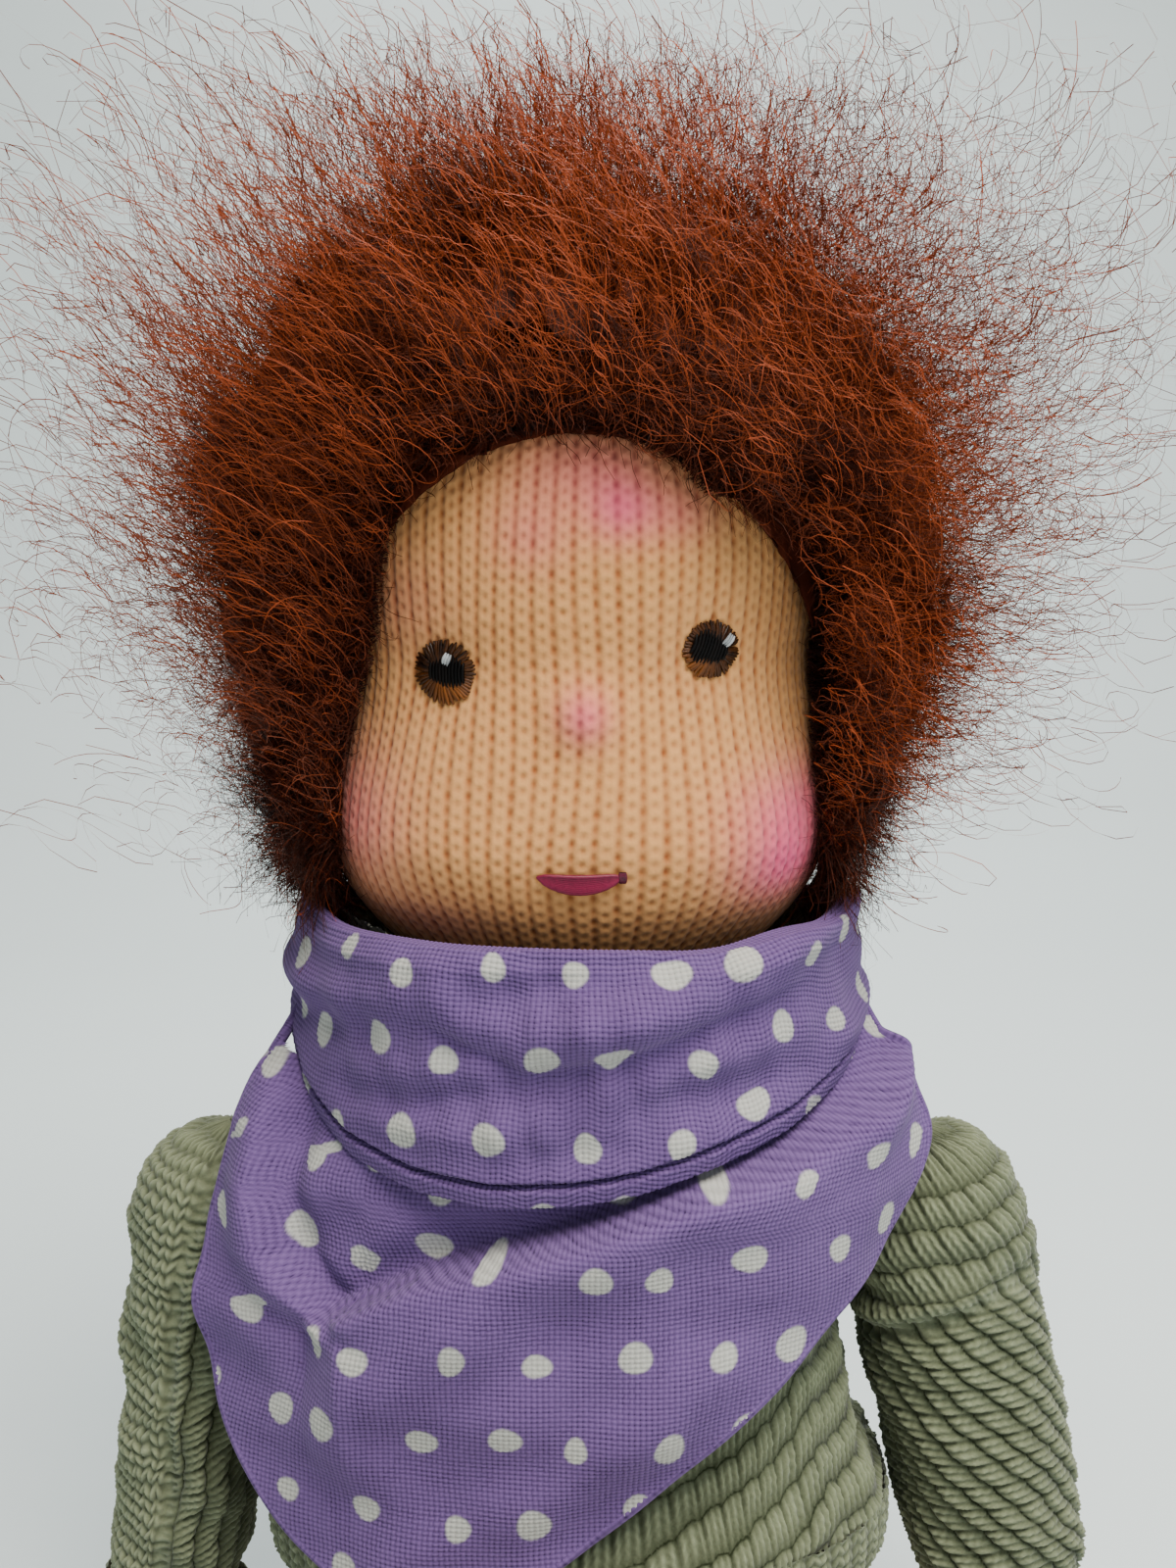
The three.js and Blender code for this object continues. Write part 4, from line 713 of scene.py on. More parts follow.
def twisted(name, line, radius, node, body, closed=True):
    """Two plies twisted round a line of points."""
    line = np.array(line, float)
    around = np.gradient(line, axis=0)
    if closed:
        around = np.gradient(np.concatenate([line[-1:], line, line[:1]]), axis=0)[1:-1]
    around = unit(around)
    aside = unit(np.cross(around, [0.2, 0.9, 0.35]))
    other = np.cross(around, aside)
    walk = walked(line)
    turns = walk / walk[-1] * round(walk[-1] / (radius * 7)) * 2 * math.pi
    plies = [line + 0.5 * radius * (aside * np.cos(turns + p)[:, None] + other * np.sin(turns + p)[:, None])
             for p in (0, math.pi)]
    points, faces = tubes(np.array(plies), np.full((2, len(line)), radius * 0.5), 6)
    # Each ply is painted lighter on one side and darker on the other: painted light and shade round the
    # thread.
    ply_light_and_shade = np.tile([0.5, 0.9, 1, 0.9, 0.6, 0.4], 2 * len(line))
    attach(build(name, points, faces, thread_material, height=ply_light_and_shade), body, node)


def ring_line(wide, deep, middle, turned=np.eye(3)):
    """A closed oval line of points round a middle."""
    angle = np.linspace(0, 2 * math.pi, 181)
    flat = np.stack([wide * np.cos(angle), deep * np.sin(angle), np.zeros(181)], axis=-1)
    return flat @ np.array(turned).T + np.array(middle)


twisted("neck_tie_plies", ring_line(6.45, 6.45, (0, 0, 73.2)), 0.6, "neck_tie", "neck")
twisted("eye_line_plies", ring_line(17.15, 15.95, (0, 0, 105.5)), 0.4, "eye_line_tie", "head")
crown_line = [(17.8, 0, 87.5), (19.2, 0, 92), (18.6, 0, 97), (17.9, 0, 102), (17.6, 0, 107), (18.2, 0, 112),
              (17.6, 0, 117), (16.2, 0, 121.5), (14.9, 0, 124.7), (9.6, 0, 128), (0, 0, 128.4)]
crown_line = crown_line + [(-x, y, z) for x, y, z in crown_line[-2::-1]]
twisted("crown_plies", crown_line, 0.24, "crown_tie", "head", False)

# Neckerchief band: a polka-dotted cotton square, folded and wound round the neck
# The band has a rolled rim, a soft crease across it and a narrow doubled fold at its foot.
# The weave is plain, with painted shade in the gap at every crossing.
weave_pitch = (0.45, 0.42)
thread_rise = 0.16
collar_radius = 25
kerchief_material = fabric("kerchief", "#230F3A", "#755A91", mark="#BCBCB6", roughness=0.92, sheen=0.08,
                           grain=0.16, shine=0.2)


def plain_weave(u, v, seed):
    """Height from 0 to 1 of a plain weave, its place counted in threads."""
    iu, iv = np.floor(u), np.floor(v)
    fu, fv = u - iu - 0.5, v - iv - 0.5
    thick_u = 0.41 + 0.09 * each_cell(seed, iu) + 0.03 * waves(seed, 6, iu, v)
    thick_v = 0.41 + 0.09 * each_cell(seed + 1, iv) + 0.03 * waves(seed + 1, 6, u, iv)
    warp = np.sqrt(np.clip(1 - (fu / thick_u)**2, 0, 1)) * (0.60 + 0.40 * np.cos(math.pi * (v - 0.5 + iu)))
    weft = np.sqrt(np.clip(1 - (fv / thick_v)**2, 0, 1)) * (0.60 - 0.40 * np.cos(math.pi * (u - 0.5 + iv)))
    return np.maximum(warp, weft)


def dotted(x, y, seed):
    """1 inside the polka dots of the cloth, 0 outside, places in millimetres on the flat cloth."""
    pitch = 7.1
    inside = np.zeros(np.shape(x))
    row = np.floor(y / pitch)
    for dr in (-1, 0, 1):
        for dc in (-1, 0, 1):
            r = row + dr
            c = np.floor(x / pitch - 0.5 * np.mod(r, 2)) + dc
            size = 0.98 + 0.52 * each_cell(seed, c, r)
            cx = (c + 0.5 + 0.5 * np.mod(r, 2) + 0.34 * (each_cell(seed + 1, c, r) - 0.5)) * pitch
            cy = (r + 0.5 + 0.34 * (each_cell(seed + 2, c, r) - 0.5)) * pitch
            stretch = 0.85 + 0.3 * each_cell(seed + 3, c, r)
            away = np.sqrt(((x - cx) * stretch)**2 + ((y - cy) / stretch)**2)
            away = away + 0.05 * np.sin(3 * np.arctan2(y - cy, x - cx) + c)
            inside = np.maximum(inside, np.clip((size - away) / 0.22 + 0.5, 0, 1))
    return inside


crease_x = [-60, -24.9, -22.6, -18.6, -13.0, -6.7, 0.0, 4.8, 11.7, 17.1, 23.0, 25.3, 60]
crease_z = [74.5, 74.1, 69.9, 67.2, 65.8, 65.4, 65.9, 66.6, 68.3, 69.8, 72.6, 74.8, 75.0]
slant_x = [-12.2, -4.0, 3.0, 11.6, 16.3]
slant_z = [78.7, 75.2, 76.6, 79.1, 80.3]
collar_count = int(round(2 * math.pi * collar_radius / (weave_pitch[0] / 4 * coarse) / 4)) * 4
collar_turn = np.linspace(-math.pi, math.pi, collar_count + 1)[:-1]
profile_t = np.concatenate([np.linspace(0, 0.22, 24 // coarse)[:-1], np.linspace(0.22, 1, 250 // coarse)])


def collar_points(turn, share):
    """The band's surface: from inside its rim, over it, down the outside and round the doubled fold."""
    across = collar_radius * np.sin(turn)
    front = np.clip(np.cos(turn), 0, 1)
    behind = np.clip(-np.cos(turn), 0, 1)
    rim = 84.1 - 6.6 * behind**1.3 + 0.35 * waves(51, 16, across, 20 * np.cos(turn)) - 0.3 * front
    crease = np.interp(across, crease_x, crease_z)
    crease = crease * (front > 0) + (front <= 0) * 74.5
    crease = np.where(front <= 0, np.minimum(74.5, rim - 4.0), crease)
    keys = np.array([0.0, 0.16, 0.22, 0.28, 0.36, 0.80, 0.815, 0.83, 0.88, 0.93, 1.0])
    radius_keys = [20.6, 22.0, 22.9, 24.1, 24.9, 25.2, 24.2, 24.2, 25.1, 24.8, 22.4]
    z_keys = [rim - 5.0, rim - 1.2, rim - 0.1, rim - 0.15, rim - 1.5, crease + 0.40, crease + 0.10,
              crease - 0.05, crease - 0.55, crease - 1.75, crease - 1.5]
    flat_share = np.broadcast_to(share, np.broadcast(turn, share).shape)
    radius = np.interp(flat_share, keys, radius_keys)
    z = np.zeros(flat_share.shape)
    for i in range(len(keys) - 1):
        part = (flat_share >= keys[i]) & (flat_share <= keys[i + 1])
        mix = (flat_share - keys[i]) / (keys[i + 1] - keys[i])
        z = np.where(part, z_keys[i] * (1 - mix) + z_keys[i + 1] * mix, z)
    height_on_slant = z - np.interp(across, slant_x, slant_z)
    window = ramp(across, -15, 6) * ramp(across, 20, -6) * (front > 0)
    over = bell(height_on_slant - 1.5, 2.3)
    under = bell(height_on_slant - 0.3, 0.7)
    bulge = 1.25 * np.where(height_on_slant > 0.3, over, under * 0.75) * window
    on_band = ramp(flat_share, 0.2, 0.12) * ramp(flat_share, 0.82, -0.1)
    soft = (0.40 * waves(52, 12, across, z * 1.6) + 0.18 * waves(53, 5, across, z)
            + 0.45 * waves(54, 7, across * 0.3, z))
    sag = 0.9 * np.sin(math.pi * ramp(flat_share, 0.3, 0.5)) * front
    radius = radius + on_band * (bulge + soft) - sag * 0.4
    return np.stack([radius * np.sin(turn), -radius * np.cos(turn), z], axis=-1)


share_grid, collar_grid = np.meshgrid(profile_t, collar_turn, indexing="ij")
band = collar_points(collar_grid, share_grid)
band[1:-1] = (band[:-2] + 2 * band[1:-1] + band[2:]) / 4
band_normals = -facing(band, True)
band_u = np.broadcast_to(collar_turn * collar_radius / weave_pitch[0], share_grid.shape)
band_v = walked(band) / weave_pitch[1]
band_weave = plain_weave(band_u, band_v, 60)
band_dots = dotted(band_u * weave_pitch[0], band_v * weave_pitch[1] + 2.0, 61)
# The whole band is painted 12 percent darker, as the shade that the head casts on it.
collar = build("neckerchief_band", band + band_normals * (thread_rise * band_weave)[..., None],
               grid_faces(*share_grid.shape, True), kerchief_material,
               height=0.88 * band_weave, mark=band_dots)
attach(collar, "torso", "neckerchief_collar")

# Hanging corner: the front of the neckerchief, hung from the band's foot, with a rolled cut edge
# It is folded from the left down to the right, and the folds stand out from a smooth sheet.
# The sheet is read again along rays, so that its weave and dots keep their size.
outline = np.array([
    (-23.8, -4.9, 74.8), (-25.5, -7.4, 71.7), (-28.6, -9.6, 65.6), (-31.6, -11.0, 56.0), (-31.2, -13.0, 44.7),
    (-27.2, -16.4, 36.6), (-21.0, -20.6, 30.9), (-12.7, -23.6, 29.2), (-2.3, -24.2, 32.8), (8.7, -23.4, 41.4),
    (18.0, -20.0, 49.6), (25.3, -14.6, 56.8), (28.8, -10.0, 63.6), (28.3, -8.8, 68.4), (26.6, -6.9, 72.4),
    (25.0, -5.4, 75.8), (23.4, -4.0, 78.4),
])


def smooth_line(points, count):
    """Evenly read points of a smooth line through the given ones."""
    points = np.array(points, float)
    place = np.linspace(0, len(points) - 1, count)
    i = np.clip(np.floor(place).astype(int), 0, len(points) - 2)
    t = (place - i)[:, None]
    p0, p1 = points[np.maximum(i - 1, 0)], points[i]
    p2, p3 = points[i + 1], points[np.minimum(i + 2, len(points) - 1)]
    return 0.5 * (2 * p1 + (p2 - p0) * t + (2 * p0 - 5 * p1 + 4 * p2 - p3) * t**2
                  + (3 * p1 - p0 - 3 * p2 + p3) * t**3)


fold_x = [-22.5, -17.9, -12.3, -5.4, 1.4, 8.2, 15.3, 23.0, 27.2]
fold_z = [51.5, 53.6, 57.0, 59.6, 62.1, 64.6, 66.6, 69.7, 72.8]
left_z = [49, 51.5, 53.2, 56.5, 61.4, 66.4, 70]
left_x = [-17.5, -19.8, -22.0, -24.6, -25.6, -25.0, -24]


def fold_height(x, z):
    """How far the hanging corner's folds stand out."""
    below = np.interp(x, fold_x, fold_z) - z
    reach = ramp(x, -21.5, 4) * (1 - 0.7 * ramp(x, 22, 6))
    lip = 1 / (1 + np.exp(-(below - 0.2) / 0.22))
    big = 3.9 * lip * np.exp(-(np.maximum(below - 1.5, 0) / 9.0)**1.5)
    trench = 1.6 * bell(np.minimum(below + 1.2, 0), 2.6) * (1 - lip)
    big = (big - trench) * reach + 0.4 * waves(75, 7, x * 0.3, below)
    off = x - np.interp(z, left_z, left_x)
    ridge = 2.2 * np.where(off < 0, bell(off, 3.4), bell(off, 0.9))
    ridge = ridge - 1.2 * bell(off - 2.4, 1.5)
    ridge = ridge * ramp(z, 50.5, 3.5) * ramp(z, 71, -5)

    def soft_ridge(ax, az, bx, bz, wide, size):
        """A low rounded fold between two places, fading at its ends."""
        t = np.clip(((x - ax) * (bx - ax) + (z - az) * (bz - az)) / ((bx - ax)**2 + (bz - az)**2), 0, 1)
        away = np.hypot(x - ax - t * (bx - ax), z - az - t * (bz - az))
        return size * np.sin(math.pi * (0.15 + 0.7 * t)) * bell(away, wide)

    return big + ridge + soft_ridge(22, 56, -8, 42, 3.2, 0.9) + soft_ridge(-29, 52, -12, 36, 3.0, 0.9)


def leaning_out(x, y):
    """The way, level and mostly forward, in which the folds stand out from the corner."""
    return unit(np.stack([x * 0.55, y, 0 * x], axis=-1))


fan_count, hem_count = 221, 700
fan_u, fan_v = np.meshgrid(np.linspace(0, 1, fan_count), np.linspace(0, 1, 121), indexing="ij")
fan_turn = np.radians(77 * (2 * fan_u - 1))
fan_front = np.clip(np.cos(fan_turn), 0, 1)**1.2
fan_foot = np.interp(collar_radius * np.sin(fan_turn), crease_x, crease_z) - 0.6
fan_radius = 22.4 + 2.0 * (1 - fan_front)
fan_start = np.stack([fan_radius * np.sin(fan_turn), -fan_radius * np.cos(fan_turn), fan_foot], axis=-1)
fan_end = smooth_line(outline, fan_count)[:, None, :]
fan = fan_start * (1 - fan_v[..., None]) + fan_end * fan_v[..., None]
fan_lift = 0.9 * np.sin(fan_v * math.pi) + fold_height(fan[..., 0], fan[..., 2]) * np.clip(fan_v * 30, 0, 1)
fan_lift = fan_lift + 0.25 * waves(71, 9, fan[..., 0], fan[..., 2])
fan = fan + leaning_out(fan[..., 0], fan[..., 1]) * fan_lift[..., None]
fan_tree = BVHTree.FromPolygons(fan.reshape(-1, 3).tolist(), grid_faces(*fan_u.shape))
drape_radius = 38.0
drape_middle, ray_length = 12, 70
drape_step = (0.1125 * coarse, 0.105 * coarse)
drape_turn = np.arange(-1.03, 1.03, drape_step[0] / drape_radius)
drape_z = np.arange(28.0, 76.0, drape_step[1])
hits = np.full((len(drape_z), len(drape_turn), 3), np.nan)
for i, z in enumerate(drape_z):
    for j, turn in enumerate(drape_turn):
        way = Vector((math.sin(turn), -math.cos(turn), 0))
        found = fan_tree.ray_cast(Vector((0, drape_middle, z)) + way * ray_length, -way)[0]
        if found is not None:
            hits[i, j] = found
hit = ~np.isnan(hits[..., 0])
filled = np.where(hit[..., None], hits, 0.0)
drape_normals = facing(filled, False)
drape_normals = np.where((drape_normals[..., 1] > 0)[..., None], -drape_normals, drape_normals)


def cloth_walk(axis, step, stretch):
    """Distance walked over the cloth along one way of the grid, with a plain step where there is none."""
    both = ~np.isnan(np.diff(hits[..., 0], axis=axis))
    length = np.minimum(np.linalg.norm(np.diff(filled, axis=axis), axis=-1), stretch * step)
    return np.insert(np.cumsum(np.where(both, length, step), axis=axis), 0, 0, axis=axis)


drape_u = cloth_walk(1, drape_step[0], 1.3)
drape_u = (drape_u - drape_u[:, hit.shape[1] // 2, None]) / weave_pitch[0]
drape_v = cloth_walk(0, drape_step[1], 1.2) / weave_pitch[1]
# The weave's height also colours the corner, with painted shade in the gaps between threads.
drape_weave = plain_weave(drape_u, drape_v, 64)
drape_dots = dotted(drape_u * weave_pitch[0] + 3.0, drape_v * weave_pitch[1] + 1.0, 65)
drape_skin = filled + drape_normals * (thread_rise * drape_weave)[..., None]
all_faces = np.array(grid_faces(*hit.shape))
all_faces = all_faces[hit.ravel()[all_faces].all(axis=1)]
face_x = filled.reshape(-1, 3)[all_faces, 0].mean(axis=1)


def drape_part(name, chosen):
    """One share of the hanging corner's grid, with only the points it uses."""
    used, faces = np.unique(chosen, return_inverse=True)
    return build(name, drape_skin.reshape(-1, 3)[used], faces.reshape(-1, 4).tolist(), kerchief_material,
                 height=drape_weave.ravel()[used], mark=drape_dots.ravel()[used])


flap_start = 22
drape = drape_part("neckerchief_corner", all_faces[np.abs(face_x) <= flap_start])
left_flap = drape_part("neckerchief_left_flap", all_faces[face_x < -flap_start])
right_flap = drape_part("neckerchief_right_flap", all_faces[face_x > flap_start])
hem_line = smooth_line(outline, hem_count)
hem_lift = fold_height(hem_line[:, 0], hem_line[:, 2]) + 0.25 * waves(71, 9, hem_line[:, 0], hem_line[:, 2])
hem_line = hem_line + leaning_out(hem_line[:, 0], hem_line[:, 1]) * (hem_lift - 0.35)[:, None]


def hem_part(name, chosen):
    """A rolled edge along part of the cut edge."""
    line = hem_line[chosen]
    points, faces = tubes(line[None], np.full((1, len(line)), 0.5), 12)
    u, v = np.meshgrid(np.arange(len(line)) * 0.45, np.arange(12) * 0.5, indexing="ij")
    # The weave's height paints shade into the gaps of the rolled edge.
    return build(name, points, faces, kerchief_material, height=plain_weave(u, v, 66),
                 mark=dotted(u * 0.47, v * 0.5, 67))


hem = hem_part("neckerchief_edge", np.abs(hem_line[:, 0]) <= flap_start)
left_hem = hem_part("neckerchief_left_edge", hem_line[:, 0] < 0.2 - flap_start)
right_hem = hem_part("neckerchief_right_edge", hem_line[:, 0] > flap_start - 0.2)
attach(drape, "torso", "neckerchief_drape")
attach(hem, "torso")
for piece in (left_flap, left_hem):
    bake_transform(piece)
for piece in (right_flap, right_hem):
    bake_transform(piece)

# Knot and tails: the two far corners tied behind the neck
# The knot is a wrapped turn of the same cloth, and the tails hang flat with a fold along each.
# They are as wide as the corners that are left over.
knot_turn, knot_up = np.meshgrid(np.linspace(-math.pi, math.pi, 121)[:-1], np.linspace(-1.5, 1.5, 90))
knot_size = 1 + 0.09 * np.cos(knot_turn * 3 + knot_up * 2.2)
knot_points = np.stack([
    4.6 * knot_size * np.cos(knot_up) * np.sin(knot_turn),
    28.3 - 2.5 * knot_size * np.cos(knot_up) * np.cos(knot_turn),
    74.6 + 3.4 * np.sin(knot_up) + 0.25 * np.sin(knot_turn * 2),
], axis=-1)
knot_pitch = (0.47, 0.55)
knot_u, knot_v = knot_turn * 4 / knot_pitch[0], knot_up * 3.4 / knot_pitch[1]
# The weave's height paints shade into the gaps of the knot's cloth.
knot_weave = plain_weave(knot_u, knot_v, 68)
knot_raised = knot_points + facing(knot_points, True) * (0.14 * knot_weave)[..., None]
knot = build("neckerchief_knot_wrap", knot_raised, grid_faces(*knot_turn.shape, True), kerchief_material,
             height=knot_weave, mark=dotted(knot_u * knot_pitch[0], knot_v * knot_pitch[1], 69))
attach(knot, "torso", "neckerchief_knot")
for side, label in sides:
    down, along = np.meshgrid(np.linspace(0, 1, 161), np.linspace(-1, 1, 81), indexing="ij")
    wide = (1.6 + 2.4 * np.sin(np.minimum(down * 1.6, 1) * math.pi / 2)
            * np.where(down > 0.7, (1.15 - down) / 0.45, 1))
    bent = 0.9 * np.sin(down * 3.1) * along**2 + 0.25 * np.sin(along * 5 + down * 6)
    tail_points = np.stack([
        side * (2.9 + 3.6 * down) + along * wide,
        28.3 - 1.2 * down + 0.6 * np.sin(down * 5) + bent,
        70.8 - 21 * down,
    ], axis=-1)
    tail_u, tail_v = along * 4 / knot_pitch[0], down * 21 / knot_pitch[1]
    # The weave's height paints shade into the gaps of the tail's cloth.
    tail_weave = plain_weave(tail_u, tail_v, 70 + side)
    tail_normals = -facing(tail_points, False)
    front = tail_points + tail_normals * (0.5 + 0.14 * tail_weave)[..., None]
    back = tail_points - tail_normals * (0.3 + 0.14 * tail_weave)[..., None]
    joined = np.concatenate([front, back[:, ::-1]], axis=1)
    tail_dots = dotted(tail_u * knot_pitch[0], tail_v * knot_pitch[1], 77 + side)
    tail = build(f"{label}_tail_cloth", joined, grid_faces(*joined.shape[:2], True), kerchief_material,
                 height=np.concatenate([tail_weave, tail_weave[:, ::-1]], axis=1),
                 mark=np.concatenate([tail_dots] * 2, axis=1))
    attach(tail, "torso", f"{label}_tail")

# Top: a waffle knit body of wool with a ribbed hem and neckband
# Ribs run up the knit and ridges across it.
# It covers the stuffed jersey body down to the hips.
body_sections = [
    (1.5, 18.5, 11.0, 10.3), (4.0, 22.8, 14.8, 7.5), (8.5, 25.2, 17.4, 4.4), (14.0, 25.8, 19.0, 2.2),
    (20.0, 25.6, 19.5, 1.0), (26.0, 25.2, 19.3, 0.6), (32.0, 25.0, 19.5, 0.4), (40.0, 22.6, 18.9, 0.2),
    (48.0, 20.8, 17.5, 0.0), (56.0, 20.3, 15.5, 0.0), (60.5, 21.6, 13.8, 0.0), (63.5, 20.6, 12.2, 0.0),
    (66.5, 15.5, 10.4, 0.0), (69.5, 9.6, 8.6, 0.0), (71.8, 7.4, 7.4, 0.0),
]
top_material = fabric("top", "#1D240F", "#8A9274", roughness=0.97, sheen=0.2, grain=0.2, shine=0.15)


def waffle(across, along, pitch, row, seed, notch=1.0, groove=0.45, braid=0.10):
    """Height from 0 to 1 of a waffle knit: puffed tiers of bundled yarns, with a hole between the bundles."""
    bundle = across / pitch + 0.05 * waves(seed + 5, 9, across, along)
    column = np.floor(bundle)
    aside = bundle - column - 0.5
    level = (along / row + 0.06 * waves(seed, 6, across, along)
             + 0.06 * each_cell(seed + 1, column, 0 * column) + 0.45 * aside**2)
    up = level - np.floor(level)
    puff = np.where(up > 0.60, np.sqrt(np.clip(1 - ((up - 0.60) / 0.36)**2, 0, 1)),
                    1 - 0.72 * (np.clip(0.60 - up, 0, 1) / 0.60)**1.4)
    between = bell(np.abs(aside) - 0.5, 0.11) * (0.75 + 0.5 * (up > 0.5))
    lines = 0.78 + 0.22 * np.cos(6 * math.pi * aside)
    twist = 1 - braid + braid * np.cos(2 * math.pi * (along / 0.85 + np.abs(aside) * pitch / 0.6))
    uneven = 0.88 + 0.12 * each_cell(seed, column, np.floor(level))
    return (1 - groove * between) * (1 - notch * (1 - puff)) * lines * twist * uneven


def stockinette(wale, course, seed):
    """Height from 0 to 1 of plain knitting, its place counted in wales and courses."""
    column = np.floor(wale + 0.5)
    side = np.abs(wale - column)
    rise = course - 1.1 * side + 0.12 * waves(seed, 3.0, wale, course)
    leg = np.sqrt(np.clip(1 - ((side - 0.25) / 0.29)**2, 0, 1))
    loop = 0.5 - 0.5 * np.cos(2 * math.pi * rise)
    uneven = 0.88 + 0.12 * each_cell(seed, column, np.floor(rise))
    return leg * (0.42 + 0.58 * loop**0.7) * uneven


def ribbing(wale, course, seed):
    """Height from 0 to 1 of a one and one rib."""
    rib = (0.5 + 0.5 * np.cos(2 * math.pi * wale * 0.5))**0.7
    return stockinette(wale, course, seed) * (0.45 + 0.55 * rib)


def knitted(name, node, body, points, height, depth, move=None, wrap=True, floor=0.0):
    """A part of the knitted top: smooth points raised by the stitch height, which also paints shade into the
    low stitches, and moved if need be.
    """
    raised = points + facing(points, wrap) * (depth * (np.maximum(height, floor) - 1))[..., None]
    if move:
        raised = move(raised)
    piece = build(name, raised, grid_faces(*height.shape, wrap), top_material, height=height)
    attach(piece, body, node)


knit_step = 0.16 * coarse
chest_radius = 24
top_turn = np.linspace(-math.pi, math.pi, int(160 / knit_step) + 1)[:-1]
top_z, top_t = np.meshgrid(np.arange(29.75, 69.2, knit_step), top_turn, indexing="ij")
ease = ramp(top_z, 29.75, 6)
ease = ease * ease * (3 - 2 * ease)
top_grow = 2.9 * (1 - ease) + 1.45 * ease + 0.5 * ramp(top_z, 58, 4)
top_points = round_points(body_sections, top_z, top_t, top_grow, 2.4)
top_lump = 0.35 * waves(80, 12, top_t * chest_radius, top_z)
top_points = top_points + facing(top_points, True) * top_lump[..., None]
waffle_pitch, waffle_row = 2.42, 3.15
chest_round = 2 * math.pi * chest_radius
top_round = top_t * chest_radius * (round(chest_round / waffle_pitch) * waffle_pitch) / chest_round
pulled = ramp(top_round, 9, 8) * ramp(top_round, 56, -8)
top_rise = top_z - 0.50 * np.clip(top_round + 4, 0, 26) * ramp(top_round, 70, -30)
top_height = waffle(top_round - 0.22 * pulled * (top_z - 50), top_rise, waffle_pitch, waffle_row, 81)
knitted("sweater_knit", "sweater_body", "torso", top_points, top_height, 0.95, floor=0.3)
hem_z, hem_t = np.meshgrid(np.linspace(25.4, 30.3, 32 // coarse), top_turn, indexing="ij")
hem_grow = 3.0 + 0.2 * np.sin((hem_z - 25.4) / 4.9 * math.pi)
hem_points = round_points(body_sections, hem_z, hem_t, hem_grow, 2.4)
knitted("hem_rib", "hem_band", "torso", hem_points, ribbing(hem_t * chest_radius / 1.3, hem_z / 1.1, 82), 0.6)
band_z, band_t = np.meshgrid(np.linspace(69.4, 81.0, 60 // coarse), np.linspace(-math.pi, math.pi, 520)[:-1],
                             indexing="ij")
band_share = (band_z - 69.4) / 11.6
band_radius = (13.4 + 7.1 * band_share + 0.6 * np.sin(band_share * math.pi)
               + 0.5 * np.maximum(band_share - 0.8, 0))
band_lift = 3.2 * np.clip(-np.sin(band_t) - 0.2, 0, 1) * np.clip(np.cos(band_t) + 0.4, 0, 1) * band_share
neck_points = np.stack([band_radius * np.sin(band_t), -band_radius * np.cos(band_t) * 0.98,
                        band_z + band_lift], axis=-1)
knitted("neckband_rib", "neckband", "torso", neck_points, ribbing(band_t * 17 / 1.2, band_z / 1.1, 83), 0.55)

# Back opening: a ribbed strip down the back of the top, closed with three small round buttons
# The strip is knitted on, and the buttons are sewn to it.
# Both are guessed, since the photograph doesn't show the back.


def middle_of(node):
    """The middle of a CAD node, in millimetres."""
    low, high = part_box(node)
    return np.array((low + high) * 500)


placket_u, placket_z = np.meshgrid(np.linspace(-1, 1, 41), np.linspace(45.3, 63.6, 120))
placket_size = at_heights(body_sections, placket_z)
placket_y = (placket_size[:, 1] + placket_size[:, 2]).reshape(placket_z.shape) + 1.85
placket_y = placket_y + 1.1 * (1 - placket_u**6) - 0.35 * placket_u**2
placket_points = np.stack([-placket_u * 2.55, placket_y, placket_z], axis=-1)
knitted("placket_rib", "back_placket", "torso", placket_points,
        ribbing(placket_z / 1.2, placket_u * 2.5, 84), 0.4, wrap=False)
button_material = fabric("button", "#B9AC8E", "#E6DCC4", roughness=0.35, sheen=0.0, grain=0.25)
button_profile = np.array([(2.3, -0.55), (2.35, 0.05), (2.2, 0.45), (1.9, 0.55), (1.6, 0.45), (1.5, 0.25),
                           (1.4, 0.2), (0.7, 0.2), (0.02, 0.2)])
angle = np.linspace(0, 2 * math.pi, 49)[:-1]
radius, rise = button_profile.T[:, :, None]
button_points = np.stack([radius * np.cos(angle), rise + 0 * angle, radius * np.sin(angle)], axis=-1)
for node in ("back_button_1", "back_button_2", "back_button_3"):
    button = build(f"{node}_disc", button_points + middle_of(node), grid_faces(9, 48, True), button_material,
                   height=np.full(9 * 48, 0.8))
    attach(button, "torso", node)

# Body: wool stuffing in a jersey skin, drawn in at the neck, under the top
# The limbs and the head are sewn to it.
# Both are soft, lumpy stand-ins for their solids, and neither shows while the top is on.
torso_skin = soft_copy("torso_skin", "torso_jersey", "torso", skin_material, 2.0, 0.12, 1)
torso_fill = soft_copy("torso_stuffing", "torso_fleece", "torso", fleece_material, 4.0, 0.3, 2)

# Trousers: smooth cloth with an elastic waistband, round at the hips and gathered at the ankles
# They are below the photograph's edge, so their colour and cloth are guessed.
# The cloth is painted darker in its soft dents, as painted shade, and has no modelled threads.
trouser_material = fabric("trousers", "#544B41", "#A89C8C", roughness=0.97, sheen=0.3, grain=0.25)
soft_copy("trouser_seat", "trouser_seat_cloth", "torso", trouser_material, 1.2, 0.2, 3)
soft_copy("waistband", "waistband_cloth", "torso", trouser_material, 1.5, 0.2, 2)

# Arms: jersey stuffed with wool, with a mitten hand, in a knitted sleeve with a cuff
# The right sleeve has a rolled seam on its inner side, with ridges round the arm below it.
# The left sleeve is slimmer, with plain stitches outside a crease and a slanted waffle inside it.


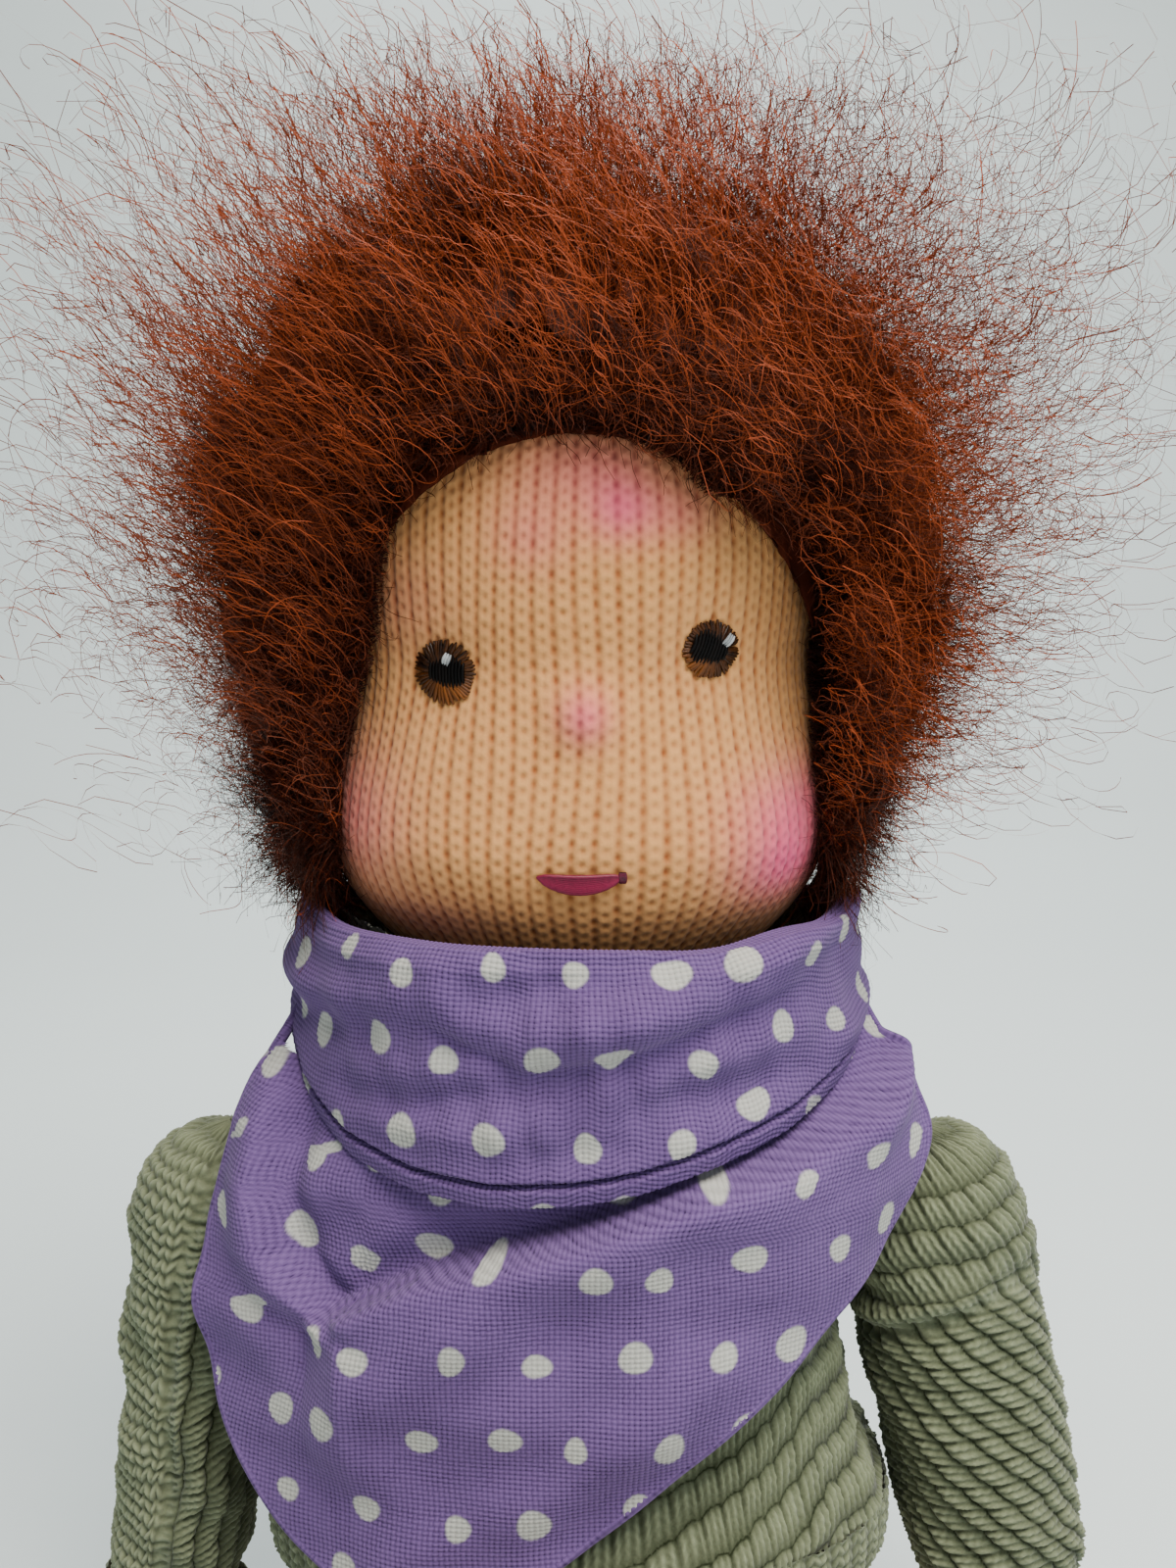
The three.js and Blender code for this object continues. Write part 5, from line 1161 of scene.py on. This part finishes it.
def stuffed(limb):
    """The jersey skin and the wool of one arm or leg."""
    skin = soft_copy(f"{limb}_skin", f"{limb}_jersey", limb, skin_material, 1.2, 0.15, 3)
    wool = soft_copy(f"{limb}_stuffing", f"{limb}_fleece", limb, fleece_material, 3, 0.3, 1)


sleeve_radius = 8.7
for (side, label), hang, slim in zip(sides, (9.0, 12.4), (0.78, 1.0)):
    c, s = math.cos(math.radians(hang)), -side * math.sin(math.radians(hang))
    turned = np.array([[c, 0, s], [0, 1, 0], [-s, 0, c]])
    pivot = np.array([side * 31.6, 0, 54.0])

    def hung(points):
        """Points of an upright arm, leaned outward and moved to the shoulder."""
        return points @ turned.T + pivot

    sleeve_table = [
        (-36.0, 7.3 * slim, 7.3), (-33.0, 8.1 * slim, 8.1), (-21.6, 8.7 * slim, 8.7),
        (-10.8, 8.7 * (0.4 + 0.6 * slim), 8.7), (-2.0, 8.7, 8.7), (0.0, 8.7, 8.7), (4.1, 7.68, 7.68),
        (7.2, 4.9, 4.9), (8.65, 0.9, 0.9),
    ]
    level = np.concatenate([np.arange(-36, 6, knit_step), np.linspace(6, 8.65, 16)])
    arm_turn = np.linspace(-math.pi, math.pi, int(54 / knit_step) + 1)[:-1]
    arm_z, arm_t = np.meshgrid(level, arm_turn, indexing="ij")
    crease = 0.45 * waves(90 + side, 9, arm_t * 8, arm_z) * ramp(arm_z, 3, -6)
    round_way = arm_t * sleeve_radius
    if side > 0:
        seam = -6.2 + 1.7 * np.sin(arm_t)
        inner = 0.5 - 0.5 * np.sin(arm_t - 0.2)
        above = arm_z - seam
        roll = 0.95 * bell(above - 1.3, 1.5) - 0.75 * bell(above + 0.6, 0.7)
        grow = roll * inner + crease * 0.7
        upper = waffle(round_way + 0.42 * above, arm_z + 1.5, waffle_pitch, waffle_row, 91, 0.8, 0.55, 0.12)
        lower = waffle(arm_z + 0.10 * round_way, -round_way - 0.8 * arm_z, 2.3, 2.7, 92)
        share = 1 / (1 + np.exp(-above / (1.2 - inner)))
    else:
        seam_line = -0.24 + 0.10 * np.sin(arm_z / 6)
        aside = arm_t - seam_line
        grow = crease - 0.8 * bell(aside, 0.10) + 0.35 * bell(aside, 0.35)
        upper = stockinette(round_way / 1.65 + 0.2 * waves(95, 6, round_way, arm_z), arm_z / 1.25, 94)
        lower = waffle(arm_z - 0.45 * round_way, round_way, 2.4, 3.4, 93)
        share = 1 / (1 + np.exp(aside / 0.04)) + (arm_t > 2.2)
    sleeve_points = round_points(sleeve_table, arm_z, arm_t, grow * ramp(arm_z, 8.6, -3), 2.1)
    knitted(f"{label}_sleeve_knit", f"{label}_sleeve", f"{label}_arm", sleeve_points,
            upper * share + lower * (1 - share), 0.85, hung)
    cuff_z, cuff_t = np.meshgrid(np.linspace(-40.15, -36.2, 24 // coarse), arm_turn, indexing="ij")
    cuff_radius = 6.95 + 0.25 * np.sin((cuff_z + 40.15) / 3.95 * math.pi)
    cuff_points = np.stack([cuff_radius * np.sin(cuff_t), -cuff_radius * np.cos(cuff_t), cuff_z], axis=-1)
    knitted(f"{label}_cuff_rib", f"{label}_cuff", f"{label}_arm", cuff_points,
            ribbing(cuff_t * 6.9 / 1.2, cuff_z / 1.1, 93), 0.6, hung)
    stuffed(f"{label}_arm")
    wrist_line = ring_line(4.97, 4.97, hung(np.array([0, 0, -37.8])), turned)
    twisted(f"{label}_wrist_plies", wrist_line, 0.32, f"{label}_wrist_thread", f"{label}_arm")
    stitch = f"{label}_shoulder_stitch"
    stitch_line = ring_line(3.2, 3.2, middle_of(stitch), [[0, 0, 1], [0, 1, 0], [1, 0, 0]])
    twisted(f"{label}_shoulder_plies", stitch_line, 0.4, stitch, f"{label}_shoulder")

# Legs: jersey stuffed with wool, with a soft foot, in a trouser leg with a narrow cuff
# The round top of the trouser leg turns in the seat's hollow at the hip.
# A thread draws the skin in at the ankle.
for _, label in sides:
    leg = f"{label}_leg"
    for node, grain, cuts in ((f"{label}_trouser_leg", 1.2, 3), (f"{label}_ankle_cuff", 1.0, 2)):
        soft_copy(node, f"{node}_cloth", leg, trouser_material, grain, 0.2, cuts)
    stuffed(leg)
    thread = f"{label}_ankle_thread"
    ankle_line = ring_line(6.67, 6.67, middle_of(thread), [[1, 0, 0], [0, 0, 1], [0, -1, 0]])
    twisted(f"{label}_ankle_plies", ankle_line, 0.32, thread, leg)
